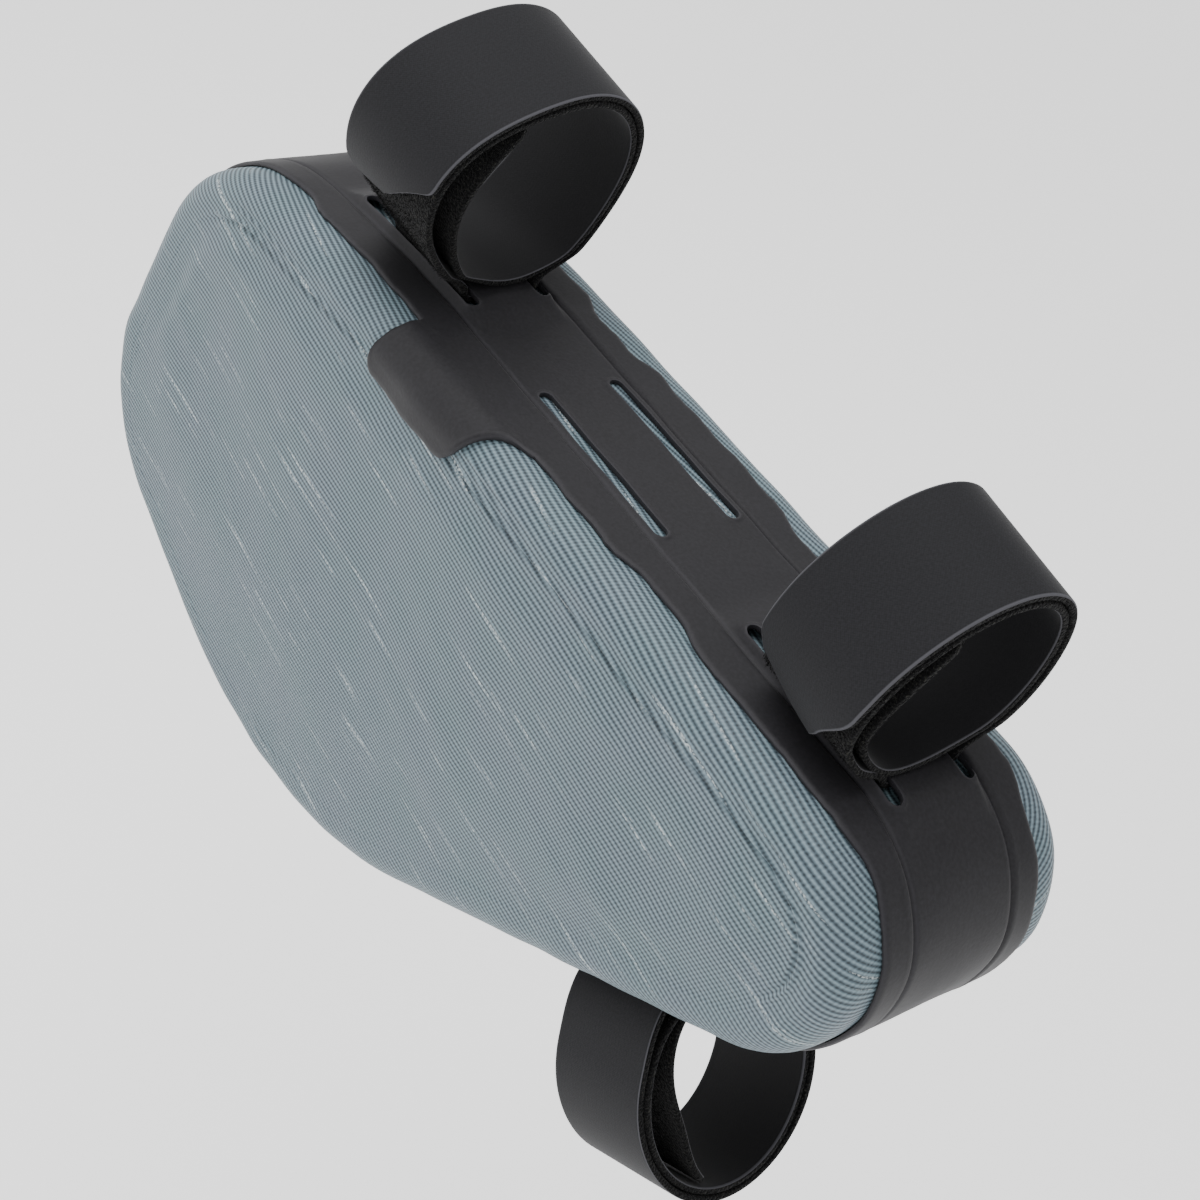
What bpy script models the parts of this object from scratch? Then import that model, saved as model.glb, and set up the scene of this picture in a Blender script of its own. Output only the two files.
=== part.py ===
"""A bicycle frame bag with two ribbed side panels, a soft black edge band and three hook-and-loop straps.

+X points to the front of the bicycle, +Y to its left side and +Z up.
The origin is on the band's outer face, midway between the two top straps, where the top tube rests.
Lengths are in metres.
"""

import bisect
import math
from collections import namedtuple

import bmesh
import bpy
from mathutils import Matrix, Vector

# Bag body
bag_length = 0.290
bag_height = 0.150
bag_width = 0.062
panel_wall = 0.0012
rim_radius = 0.0075
seat_from_front = 0.118
lower_strap_from_front = 0.058

# Fold that runs along the edge of each face, and the crown of the face inside it
fold_inset = 0.0030
fold_depth = 0.0010
face_crown = 0.0012
faint_fold = 0.35
deep_fold_facing = Vector((0.6, 0.8))
hollow_steepness = 2.5

# Zip on the left face
zip_slit_length = 0.190
zip_slit_width = 0.0060
zip_below_seat = 0.040
zip_tape_width = 0.022
zip_tape_thickness = 0.0010
zip_coil_width = 0.0060
zip_coil_rise = 0.0008

# Edge band and its slots
band_width = 0.041
band_swell = 0.0020
band_thickness = 0.0010
weld_spacing = 0.0262
weld_width = 0.0012
weld_depth = 0.0005
slot_spacing = 0.0190
slot_width = 0.0032
slot_end_bulge = 0.0011
slot_clearance = 0.0135
lift_run = 0.0100

# Tab that hangs from the band over the right face
tab_centre_behind_seat = 0.036
tab_width = 0.040
tab_drop = 0.020
tab_stand_off = 0.0006

# Straps
strap_width = 0.030
strap_thickness = 0.0016
strap_pitch = 0.075
loop_radius = 0.0215
strap_corner = 0.0060
slot_bend_radius = 0.0016
turn_begin = 0.0040
turn_end = 0.0140

# Gap between neighbouring pieces
clearance = 0.0003

# Mesh fineness
arc_step = math.radians(12.0)
loop_step = math.radians(11.0)
longest_span = 0.030
shortest_span = 0.0006
station_gap = 0.0035
rim_steps = 4
bend_steps = 3
blend_steps = 5

# Corners of the side outline, clockwise as seen from the right of the bicycle.
# along is a share of bag_length, up and radius are shares of bag_height.
Corner = namedtuple("Corner", "name along up radius")
CORNERS = (
    Corner("front_upper", 0.506, -0.029, 0.190),
    Corner("front_lower", 0.468, -0.355, 0.290),
    Corner("bottom", -0.139, -1.063, 0.770),
    Corner("rear_lower", -0.559, -0.656, 0.283),
    Corner("rear_upper", -0.420, 0.005, 0.342),
    Corner("top_arch", -0.203, 0.046, 2.670),
)

# Soft hollows in the faces: along and up are shares of bag_length and bag_height from the origin,
# reach is a share of bag_height and depth is a share of rim_radius.
Hollow = namedtuple("Hollow", "side along up reach depth")
HOLLOWS = (
    Hollow("right", -0.42, -0.42, 0.30, 0.26),
    Hollow("right", -0.12, -0.30, 0.24, 0.20),
    Hollow("right", 0.22, -0.26, 0.20, 0.16),
    Hollow("left", -0.36, -0.66, 0.26, 0.24),
    Hollow("left", 0.02, -0.58, 0.20, 0.18),
)

# Strap loops: offset counts steps of strap_pitch from the seat, and slide is the strap's place in its slots
# as a share of half of slot_clearance.
StrapPlace = namedtuple("StrapPlace", "name edge offset slide")
STRAPS = (
    StrapPlace("top_strap_rear", "top", -1, 0.61),
    StrapPlace("top_strap_front", "top", 1, 0.59),
    StrapPlace("lower_strap", "bottom", 0, 0.0),
)

# Form of each loop: long and short are shares of loop_radius and lean is the direction of the long radius.
# swell is the height of three soft bulges as a share of loop_radius, and swell_at is where one of them is.
# shift is a share of loop_radius towards the left. yaw and pitch turn the loop about the band's normal
# and about the bag's width. start and finish are the angles of the two strap ends.
# Angles run from the left side of the bicycle towards the outside of the loop, in degrees.
Form = namedtuple("Form", "long short lean swell swell_at shift yaw pitch start finish")
FORMS = {
    "top_strap_rear": Form(1.14, 1.05, 118.0, 0.08, 47.0, -0.12, 4.0, 11.0, 112.0, 200.0),
    "top_strap_front": Form(0.96, 0.635, 52.0, 0.033, 77.0, 0.05, -8.5, 0.0, 118.0, 198.0),
    "lower_strap": Form(1.05, 0.94, 108.0, 0.0, 0.0, -0.08, 0.0, 0.0, 112.0, 200.0),
}
leave_angle = math.radians(36.0)
slot_exit_angle = math.radians(50.0)

# Width of the strap near its ends: along is a share of strap_corner from the end,
# across is the share of the corner that is still cut off there.
StrapEnd = namedtuple("StrapEnd", "along across")
STRAP_ENDS = (
    StrapEnd(0.0, 1.0),
    StrapEnd(0.35, 0.42),
    StrapEnd(1.0, 0.0),
)

# Lower edge of the tab: along runs from its rear side to its front side as a share of tab_width,
# reach is a share of tab_drop.
TabStep = namedtuple("TabStep", "along reach")
TAB = (
    TabStep(0.0, 0.42),
    TabStep(0.06, 0.78),
    TabStep(0.18, 0.98),
    TabStep(0.45, 1.0),
    TabStep(0.74, 1.0),
    TabStep(0.86, 0.86),
    TabStep(0.92, 0.52),
    TabStep(1.0, 0.16),
    TabStep(1.16, 0.04),
)
tab_columns = 8

Piece = namedtuple("Piece", "kind length point direction radius start_angle")
Surface = namedtuple("Surface", "colour roughness metallic")
PANEL_CLOTH = Surface((0.25, 0.32, 0.33), 0.62, 0.0)
BAND_RUBBER = Surface((0.026, 0.025, 0.028), 0.72, 0.0)
STRAP_CLOTH = Surface((0.030, 0.030, 0.036), 0.80, 0.0)
ZIP_CLOTH = Surface((0.022, 0.022, 0.024), 0.55, 0.0)


def clear_scene():
    for item in list(bpy.data.objects):
        bpy.data.objects.remove(item, do_unlink=True)


def left_of(direction):
    """The outward side of a clockwise path in the side view."""
    return Vector((-direction.y, direction.x))


def trace_outline(length, height):
    """Straight runs and arcs of the side outline, joined at tangent points."""
    corners = [Vector((row.along * length, row.up * height)) for row in CORNERS]
    radii = [row.radius * height for row in CORNERS]
    count = len(corners)
    cuts = []
    for index in range(count):
        arriving = (corners[index] - corners[index - 1]).normalized()
        leaving = (corners[(index + 1) % count] - corners[index]).normalized()
        turn = math.acos(max(-1.0, min(1.0, arriving.dot(leaving))))
        cuts.append((arriving, leaving, turn, radii[index] * math.tan(turn / 2)))
    pieces = []
    for index in range(count):
        arriving, leaving, turn, cut = cuts[index]
        begin = corners[index - 1] + arriving * cuts[index - 1][3]
        end = corners[index] - arriving * cut
        pieces.append(Piece("line", (end - begin).length, begin, arriving, 0.0, 0.0))
        outward = left_of(arriving)
        centre = end - outward * radii[index]
        angle = math.atan2(outward.y, outward.x)
        pieces.append(Piece("arc", radii[index] * turn, centre, arriving, radii[index], angle))
    return pieces


def point_on_piece(piece, distance):
    """Point and outward direction at a distance along one run or arc."""
    if piece.kind == "line":
        return piece.point + piece.direction * distance, left_of(piece.direction)
    angle = piece.start_angle - distance / piece.radius
    outward = Vector((math.cos(angle), math.sin(angle)))
    return piece.point + outward * piece.radius, outward


class Outline:
    """The closed side outline, read by distance along it from the start of the straight top edge."""

    def __init__(self):
        length, height = bag_length, bag_height
        for _ in range(4):
            self.pieces = trace_outline(length, height)
            points = [self.raw(distance)[0] for distance in self.breaks(math.radians(2.0))]
            self.low = Vector((min(p.x for p in points), min(p.y for p in points)))
            self.high = Vector((max(p.x for p in points), max(p.y for p in points)))
            length *= bag_length / (self.high.x - self.low.x)
            height *= bag_height / (self.high.y - self.low.y)
        self.pieces = trace_outline(length, height)
        self.origin = Vector((0.0, 0.0))
        self.seat = self.find_along(self.high.x - seat_from_front, "top")
        point, outward = self.raw(self.seat)
        self.origin = point + outward * (clearance + band_thickness)

    def length(self):
        return sum(piece.length for piece in self.pieces)

    def raw(self, distance):
        distance %= self.length()
        for piece in self.pieces:
            if distance <= piece.length:
                return point_on_piece(piece, distance)
            distance -= piece.length
        return point_on_piece(self.pieces[-1], self.pieces[-1].length)

    def at(self, distance):
        """Point and outward direction in the shared frame, in the side view."""
        point, outward = self.raw(distance)
        return point - self.origin, outward

    def breaks(self, step):
        """Distances that split every arc by the angle step, and every arc and run by longest_span."""
        places = []
        begin = 0.0
        for piece in self.pieces:
            parts = math.ceil(piece.length / longest_span)
            if piece.kind == "arc":
                parts = max(parts, math.ceil(piece.length / piece.radius / step))
            places += [begin + piece.length * part / parts for part in range(parts)]
            begin += piece.length
        return places

    def find_along(self, along, edge):
        """Distance where the top or the bottom edge passes a place along the bag, by halving."""
        whole = self.length()
        front = self.pieces[0].length + self.pieces[1].length
        if edge == "top":
            low, high = 0.0, front - self.pieces[1].length / 2
        else:
            low, high = front + self.pieces[3].length, whole * 0.5
        for _ in range(50):
            middle = (low + high) / 2
            ahead = self.raw(middle)[0].x > along
            if ahead == (edge == "bottom"):
                low = middle
            else:
                high = middle
        return (low + high) / 2


OUTLINE = Outline()


def slot_length():
    return strap_width + slot_clearance


def slot_place(row):
    """Distance along the outline at the middle of one strap's slots."""
    if row.edge == "top":
        return OUTLINE.seat + row.offset * strap_pitch
    return OUTLINE.find_along(OUTLINE.high.x - lower_strap_from_front, "bottom")


def strap_place(row):
    """Distance along the outline at the middle of one strap, which lies a little off the middle of its slots."""
    return slot_place(row) + row.slide * slot_clearance / 2


def slot_places():
    """Middles of all slot pairs, with the lift that a strap under the band needs there."""
    places = [(slot_place(row), strap_lift(row)) for row in STRAPS]
    return places + [(OUTLINE.seat, 0.0)]


def strap_lift(row):
    """Rise of the band over a strap, with room for the bend of the outline under a straight strap."""
    place = strap_place(row)
    point, outward = OUTLINE.at(place)
    ends = [OUTLINE.at(place + side * strap_width / 2)[0] for side in (-1, 1)]
    drop = max(0.0, max((point - end).dot(outward) for end in ends))
    return strap_thickness + clearance + drop


def around(first, second):
    """Shortest signed distance along the closed outline."""
    whole = OUTLINE.length()
    return (first - second + whole / 2) % whole - whole / 2


def ramp(distance):
    """One over the slots of a pair, falling to nothing over lift_run beyond them."""
    beyond = (abs(distance) - slot_length() / 2) / lift_run
    share = max(0.0, min(1.0, 1.0 - beyond))
    return share * share * (3.0 - 2.0 * share)


def band_lift(distance):
    return max(lift * ramp(around(distance, place)) for place, lift in slot_places())


def band_edge(distance):
    """Half width of the band, which swells beside each slot pair."""
    swell = max(ramp(around(distance, place)) for place, lift in slot_places())
    return band_width / 2 + band_swell * swell


def tab_start():
    return OUTLINE.seat - tab_centre_behind_seat - tab_width / 2


def make_stations():
    """Distances along the outline shared by the panels and the band."""
    whole = OUTLINE.length()
    marked = []
    for place, lift in slot_places():
        marked.append(place)
        for side in (-1, 1):
            marked.append(place + side * slot_length() / 2)
            marked.append(place + side * (slot_length() / 2 + lift_run / 2))
            marked.append(place + side * (slot_length() / 2 + lift_run))
    marked += [tab_start() + row.along * tab_width for row in TAB]
    kept = []
    for distance in sorted(value % whole for value in marked):
        if not kept or distance - kept[-1] > shortest_span:
            kept.append(distance)
    extra = OUTLINE.breaks(arc_step)
    for distance in extra:
        if min(abs(around(distance, other)) for other in kept) > station_gap:
            bisect.insort(kept, distance % whole)
    return kept


STATIONS = make_stations()


def in_space(flat, across):
    return Vector((flat.x, across, flat.y))


def skin_point(distance, reach, rise, side):
    """Point over the panel's outer skin.

    reach is measured over the skin from the bag's middle line towards one face, and rise stands off the skin.
    """
    point, outward = OUTLINE.at(distance)
    straight = bag_width / 2 - rim_radius
    quarter = rim_radius * math.pi / 2
    if reach <= straight:
        return in_space(point + outward * rise, side * reach)
    if reach <= straight + quarter:
        angle = (reach - straight) / rim_radius
        inset = rim_radius - (rim_radius + rise) * math.cos(angle)
        return in_space(point - outward * inset, side * (straight + (rim_radius + rise) * math.sin(angle)))
    inset = rim_radius + reach - straight - quarter
    return in_space(point - outward * inset, side * (bag_width / 2 + rise))


def zip_ends():
    """Ends of the zip line on the left face, parallel to the top edge."""
    point, outward = OUTLINE.at(OUTLINE.seat)
    along = Vector((outward.y, -outward.x))
    middle = (OUTLINE.low + OUTLINE.high) / 2 - OUTLINE.origin
    centre = Vector((middle.x, 0.0)) - outward * zip_below_seat
    straight = (zip_slit_length - zip_slit_width) / 2
    return centre - along * straight, centre + along * straight


def slit_point(distance, half_width):
    """Point of a round-ended line around the zip that faces one place of the outline."""
    point, outward = OUTLINE.at(distance)
    rear, front = zip_ends()
    line = front - rear
    share = max(0.0, min(1.0, (point - rear).dot(line) / line.dot(line)))
    foot = rear + line * share
    return foot + (point - foot).normalized() * half_width


def hollow_depth(flat, side_name):
    depth = 0.0
    for row in HOLLOWS:
        if row.side == side_name:
            centre = Vector((row.along * bag_length, row.up * bag_height))
            reach = (flat - centre).length / (row.reach * bag_height)
            depth += row.depth * rim_radius * math.exp(-hollow_steepness * reach * reach)
    return depth


def fold_share(distance):
    """The fold is deepest at the front and along the top, and faint at the rear bottom."""
    outward = OUTLINE.at(distance)[1]
    return faint_fold + (1.0 - faint_fold) * max(0.0, outward.dot(deep_fold_facing))


# Rings of a face from its rim to the zip line: share of the way, and share of face_crown there.
FaceRing = namedtuple("FaceRing", "share crown hollow")
FACE_RINGS = (
    FaceRing(0.0, 0.0, 0.0),
    FaceRing(0.22, 0.7, 0.6),
    FaceRing(0.50, 1.0, 1.0),
    FaceRing(0.78, 1.0, 0.35),
    FaceRing(1.0, 1.0, 0.0),
)


def face_ring(ring, side, side_name, rise):
    points = []
    for distance in STATIONS:
        point, outward = OUTLINE.at(distance)
        edge = point - outward * (rim_radius + 2 * fold_inset)
        flat = edge + (slit_point(distance, zip_slit_width / 2) - edge) * ring.share
        height = bag_width / 2 + face_crown * ring.crown - ring.hollow * hollow_depth(flat, side_name)
        points.append(in_space(flat, side * (height + rise)))
    return points


def panel_rings(side, side_name, rise):
    """Closed rings of one skin of a panel, from the bag's middle line to the zip line."""
    straight = bag_width / 2 - rim_radius
    quarter = rim_radius * math.pi / 2
    reaches = [clearance / 2, straight]
    reaches += [straight + quarter * step / rim_steps for step in range(1, rim_steps + 1)]
    rings = [[skin_point(distance, reach, rise, side) for distance in STATIONS] for reach in reaches]
    fold = []
    for distance in STATIONS:
        depth = fold_depth * fold_share(distance)
        fold.append(skin_point(distance, reaches[-1] + fold_inset, rise - depth, side))
    rings.append(fold)
    rings += [face_ring(ring, side, side_name, rise) for ring in FACE_RINGS]
    return rings


def bridge(faces, first, second):
    """Quads between two closed rings of vertex numbers."""
    count = len(first)
    for index in range(count):
        after = (index + 1) % count
        faces.append((first[index], first[after], second[after], second[index]))


def make_material(name, surface):
    material = bpy.data.materials.new(name)
    material.use_nodes = True
    shader = material.node_tree.nodes["Principled BSDF"]
    shader.inputs["Base Color"].default_value = (*surface.colour, 1.0)
    shader.inputs["Roughness"].default_value = surface.roughness
    shader.inputs["Metallic"].default_value = surface.metallic
    return material


def make_object(name, points, faces, surface):
    """One closed body with faces outward and its own material."""
    mesh = bpy.data.meshes.new(name)
    mesh.from_pydata([tuple(point) for point in points], [], faces)
    work = bmesh.new()
    work.from_mesh(mesh)
    bmesh.ops.recalc_face_normals(work, faces=work.faces)
    bmesh.ops.triangulate(work, faces=work.faces)
    work.to_mesh(mesh)
    work.free()
    mesh.shade_smooth()
    mesh.set_sharp_from_angle(angle=math.radians(38.0))
    item = bpy.data.objects.new(name, mesh)
    bpy.context.scene.collection.objects.link(item)
    item.data.materials.append(make_material(name + "_material", surface))
    return item


def close_tube(rings, filled):
    """Points and faces of nested rings: outer skin, then inner skin, joined at the first ring.

    The last rings are filled when the skin has no opening, and joined to each other when it has one.
    """
    outer, inner = rings
    points = []
    numbers = []
    for skin in (outer, inner):
        numbers.append([])
        for ring in skin:
            numbers[-1].append(list(range(len(points), len(points) + len(ring))))
            points += ring
    faces = []
    for skin in numbers:
        for first, second in zip(skin, skin[1:]):
            bridge(faces, first, second)
    bridge(faces, numbers[0][0], numbers[1][0])
    if filled:
        faces.append(tuple(numbers[0][-1]))
        faces.append(tuple(numbers[1][-1]))
    else:
        bridge(faces, numbers[0][-1], numbers[1][-1])
    return points, faces


def make_panels():
    """Two cloth trays that meet under the band; the left one is slit for the zip."""
    for name, side, filled in (("right", -1, True), ("left", 1, False)):
        rings = (panel_rings(side, name, 0.0), panel_rings(side, name, -panel_wall))
        points, faces = close_tube(rings, filled)
        make_object(name + "_side_panel", points, faces, PANEL_CLOTH)


def make_zip():
    """A tape with round ends and a raised coil that covers the slit from outside."""
    base = bag_width / 2 + face_crown + clearance
    low, high = base, base + zip_tape_thickness
    coil_edge = zip_coil_width / 2 + zip_coil_rise
    top = (
        (zip_tape_width / 2, high),
        (coil_edge, high),
        (zip_coil_width / 2, high + zip_coil_rise),
    )
    rear, front = zip_ends()
    along = (front - rear).normalized()
    up = left_of(along)
    turns = 8

    def ring(half_width, across):
        points = []
        for centre, start in ((front, math.pi / 2), (rear, -math.pi / 2)):
            for step in range(turns + 1):
                angle = start - math.pi * step / turns
                flat = centre + (along * math.cos(angle) + up * math.sin(angle)) * half_width
                points.append(in_space(flat, across))
        return points

    rings = ([ring(half, across) for half, across in top], [ring(zip_tape_width / 2, low)])
    points, faces = close_tube(rings, True)
    make_object("left_zip", points, faces, ZIP_CLOTH)


def band_columns():
    """Places across the band's right and left halves: the slots and the weld lines."""
    slot = slot_spacing / 2
    weld = weld_spacing / 2
    half = [slot - slot_width / 2, slot, slot + slot_width / 2]
    half += [weld - weld_width, weld, weld + weld_width]
    return half


def band_point(distance, column, outer):
    """Point of the band: column counts from the middle, negative to the right of the bicycle."""
    side = -1 if column < 0 else 1
    number = abs(column)
    half = band_columns()
    slot_part = number <= 3
    lift = band_lift(distance) if slot_part else 0.0
    rise = clearance + lift + (band_thickness if outer else 0.0)
    if number == 0:
        return skin_point(distance, 0.0, rise, side)
    if number <= len(half):
        if number == 5 and outer:
            rise -= weld_depth
        shifted = distance
        if number == 2:
            shifted += slot_end_shift(distance)
        return skin_point(shifted, half[number - 1], rise, side)
    edge = band_edge(distance)
    if number == len(half) + 1:
        return skin_point(distance, edge, rise, side)
    share = (number - len(half) - 1) / tab_columns
    reach = edge + tab_reach(distance) * share
    return skin_point(distance, reach, rise + tab_stand_off * min(1.0, share * tab_columns / 2), side)


def slot_end_shift(distance):
    """Outward shift that rounds the two ends of every slot."""
    for place, lift in slot_places():
        from_middle = around(distance, place)
        if abs(abs(from_middle) - slot_length() / 2) < shortest_span:
            return math.copysign(slot_end_bulge, from_middle)
    return 0.0


def tab_reach(distance):
    """Length of the tab over the right rim and face at one station, nothing away from the tab."""
    share = around(distance, tab_start()) / tab_width
    for first, second in zip(TAB, TAB[1:]):
        if first.along - 0.01 <= share <= second.along + 0.01:
            part = max(0.0, min(1.0, (share - first.along) / (second.along - first.along)))
            return tab_drop * (first.reach + (second.reach - first.reach) * part)
    return 0.0


def band_has_cell(station, column):
    """Whether the band has material between two stations and between a column and the next one."""
    half_count = len(band_columns()) + 1
    here = STATIONS[station]
    span = around(STATIONS[(station + 1) % len(STATIONS)], here)
    middle = here + span / 2
    if column < -half_count:
        share = around(middle, tab_start()) / tab_width
        return TAB[0].along < share < TAB[-1].along
    inner = min(abs(column), abs(column + 1))
    if inner in (1, 2):
        return all(abs(around(middle, place)) > slot_length() / 2 for place, lift in slot_places())
    return True


def make_band():
    """One sheet round the bag, welded to the panels along two lines, with slots and a hanging tab."""
    half_count = len(band_columns()) + 1
    columns = range(-half_count - tab_columns, half_count)
    count = len(STATIONS)
    points = []
    number = {}

    def corner(station, column, outer):
        key = (station % count, column, outer)
        if key not in number:
            number[key] = len(points)
            points.append(band_point(STATIONS[key[0]], column, outer))
        return number[key]

    faces = []
    sides = {}
    for station in range(count):
        for column in columns:
            if not band_has_cell(station, column):
                continue
            ring = ((station, column), (station + 1, column), (station + 1, column + 1), (station, column + 1))
            faces.append(tuple(corner(*place, True) for place in ring))
            faces.append(tuple(corner(*place, False) for place in reversed(ring)))
            for first, second in zip(ring, ring[1:] + ring[:1]):
                first = (first[0] % count, first[1])
                second = (second[0] % count, second[1])
                if (second, first) in sides:
                    del sides[(second, first)]
                else:
                    sides[(first, second)] = True
    for first, second in sides:
        faces.append((corner(*second, True), corner(*first, True), corner(*first, False), corner(*second, False)))
    make_object("edge_band", points, faces, BAND_RUBBER)


def loop_offset(form, angle, grown):
    """Place on the loop from its middle: a leaning ellipse with three soft bulges, grown outward."""
    lean = math.radians(form.lean)
    grown += form.swell * loop_radius * math.cos(3.0 * (angle - math.radians(form.swell_at)))
    turned = angle - lean
    wide = (form.long * loop_radius + grown) * math.cos(turned)
    narrow = (form.short * loop_radius + grown) * math.sin(turned)
    return Matrix.Rotation(lean, 2) @ Vector((wide, narrow))


def lap_growth(form, angle):
    """How far the strap's middle lies outside the loop's bore: one lap more for each turn."""
    laps = (angle - math.radians(form.start)) / math.tau
    return strap_thickness / 2 + (strap_thickness + clearance) * laps


def spiral_point(row, angle):
    """Middle of the strap's thickness on the wound loop, whose first lap rests over the band."""
    form = FORMS[row.name]
    top = clearance + strap_lift(row) + band_thickness
    bottom = math.radians(270.0)
    lowest = min(loop_offset(form, math.radians(turn), 0.0).y for turn in range(0, 360, 5))
    rise = top + clearance + strap_thickness / 2 + lap_growth(form, bottom) - lowest
    centre = Vector((form.shift * loop_radius, rise))
    return centre + loop_offset(form, angle, lap_growth(form, angle))


def spiral(row, begin, end):
    """Points from one angle to another, on steps shared by all laps of the loop."""
    start = math.radians(FORMS[row.name].start)
    first = math.ceil((begin - start) / loop_step - 1e-6)
    last = math.floor((end - start) / loop_step + 1e-6)
    return [spiral_point(row, start + loop_step * step) for step in range(first, last + 1)]


def blend(first, first_way, second, second_way):
    """Points inside a smooth curve between two points with known directions."""
    pull = (second - first).length
    points = []
    for step in range(1, blend_steps):
        t = step / blend_steps
        points.append(
            first * (2 * t**3 - 3 * t**2 + 1)
            + first_way * pull * (t**3 - 2 * t**2 + t)
            + second * (3 * t**2 - 2 * t**3)
            + second_way * pull * (t**3 - t**2)
        )
    return points


def slot_passage(row):
    """Half of the strap's way under the band, from the middle line to outside the left slot."""
    under = clearance + strap_thickness / 2
    top = clearance + strap_lift(row) + band_thickness
    bend = slot_bend_radius
    slot = slot_spacing / 2
    points = [Vector((0.0, under))]
    for step in range(bend_steps + 1):
        angle = math.pi / 2 * step / bend_steps
        points.append(Vector((slot - bend + bend * math.sin(angle), under + bend - bend * math.cos(angle))))
    for step in range(bend_steps + 1):
        angle = slot_exit_angle * step / bend_steps
        points.append(Vector((slot + bend - bend * math.cos(angle), top + bend * math.sin(angle))))
    return points


def strap_path(row):
    """The strap's way in its own cross plane, from the end inside the loop to the end outside it.

    It makes one and a quarter laps, passes down a slot, under the band and up the other slot,
    and makes a last lap outside the others.
    """
    form = FORMS[row.name]
    inside = spiral(row, math.radians(form.start), 3 * math.pi + leave_angle)
    outside = spiral(row, 4 * math.pi - leave_angle, 4 * math.pi + math.radians(form.finish))
    rising = slot_passage(row)
    falling = [Vector((-point.x, point.y)) for point in reversed(rising[1:])]
    down = (falling[1] - falling[0]).normalized()
    up = (rising[-1] - rising[-2]).normalized()
    path = inside
    path += blend(inside[-1], (inside[-1] - inside[-2]).normalized(), falling[0], down)
    path += falling + rising
    path += blend(rising[-1], up, outside[0], (outside[1] - outside[0]).normalized())
    return path + outside


def cut_corner(travelled):
    """How much the half width is cut at a distance from a strap's end."""
    share = travelled / strap_corner
    for first, second in zip(STRAP_ENDS, STRAP_ENDS[1:]):
        if share <= second.along:
            part = (share - first.along) / (second.along - first.along)
            return strap_corner * (first.across + (second.across - first.across) * part)
    return 0.0


def resample_ends(path):
    """Adds points near both ends, so that the cut corners have their own sections."""
    for _ in range(2):
        path = list(reversed(path))
        for row in STRAP_ENDS[1:]:
            target = row.along * strap_corner
            travelled = 0.0
            for index in range(1, len(path)):
                step = (path[index] - path[index - 1]).length
                if travelled + step > target:
                    point = path[index - 1].lerp(path[index], (target - travelled) / step)
                    if min((point - path[index]).length, (point - path[index - 1]).length) > shortest_span:
                        path.insert(index, point)
                    break
                travelled += step
    return path


def loop_point(row, along, across, height):
    """Point of a strap in the shared frame: the loop turns slowly as it rises from the band."""
    form = FORMS[row.name]
    share = max(0.0, min(1.0, (height - turn_begin) / (turn_end - turn_begin)))
    share *= share * (3.0 - 2.0 * share)
    yaw = math.radians(form.yaw) * share
    pitch = math.radians(form.pitch) * share
    forward = along * math.cos(yaw) - across * math.sin(yaw)
    sideways = along * math.sin(yaw) + across * math.cos(yaw)
    above = height - turn_begin
    up = turn_begin + above * math.cos(pitch) - forward * math.sin(pitch)
    forward = forward * math.cos(pitch) + above * math.sin(pitch)
    middle, outward = OUTLINE.at(strap_place(row))
    flat = middle + Vector((outward.y, -outward.x)) * forward + outward * up
    return in_space(flat, sideways)


def make_strap(row):
    """A flat strap swept along its path, with a closed rectangular section."""
    path = resample_ends(strap_path(row))
    steps = [0.0]
    for first, second in zip(path, path[1:]):
        steps.append(steps[-1] + (second - first).length)
    points = []
    for index, point in enumerate(path):
        before = path[max(0, index - 1)]
        after = path[min(len(path) - 1, index + 1)]
        way = (after - before).normalized()
        square = Vector((-way.y, way.x))
        stretch = 1.0
        if 0 < index < len(path) - 1:
            stretch = 1.0 / max(0.6, abs(square.dot(left_of((point - before).normalized()))))
        half = strap_width / 2 - cut_corner(min(steps[index], steps[-1] - steps[index]))
        for across, rise in ((-half, -0.5), (half, -0.5), (half, 0.5), (-half, 0.5)):
            flat = point + square * rise * strap_thickness * stretch
            points.append(loop_point(row, across, flat.x, flat.y))
    faces = [(0, 1, 2, 3)]
    for index in range(len(path) - 1):
        first = list(range(4 * index, 4 * index + 4))
        bridge(faces, first, [number + 4 for number in first])
    last = 4 * (len(path) - 1)
    faces.append((last + 3, last + 2, last + 1, last))
    make_object(row.name, points, faces, STRAP_CLOTH)


def main():
    clear_scene()
    make_panels()
    make_zip()
    make_band()
    for row in STRAPS:
        make_strap(row)


main()
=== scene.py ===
# %% [markdown]
# # A bicycle frame bag
# This lesson dresses a plain solid model of a frame bag: two ribbed side panels, a soft black band with slots and a
# tab, three wound hook-and-loop straps and a hidden zip. The solid model is the fixed frame that every piece follows.
# Every new piece is a surface: a function of two directions, worked out for a whole grid at once.

# %% Load the solid model
import math
from collections import namedtuple

import bmesh
import bpy
import numpy as np
from mathutils import Matrix, Vector


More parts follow.
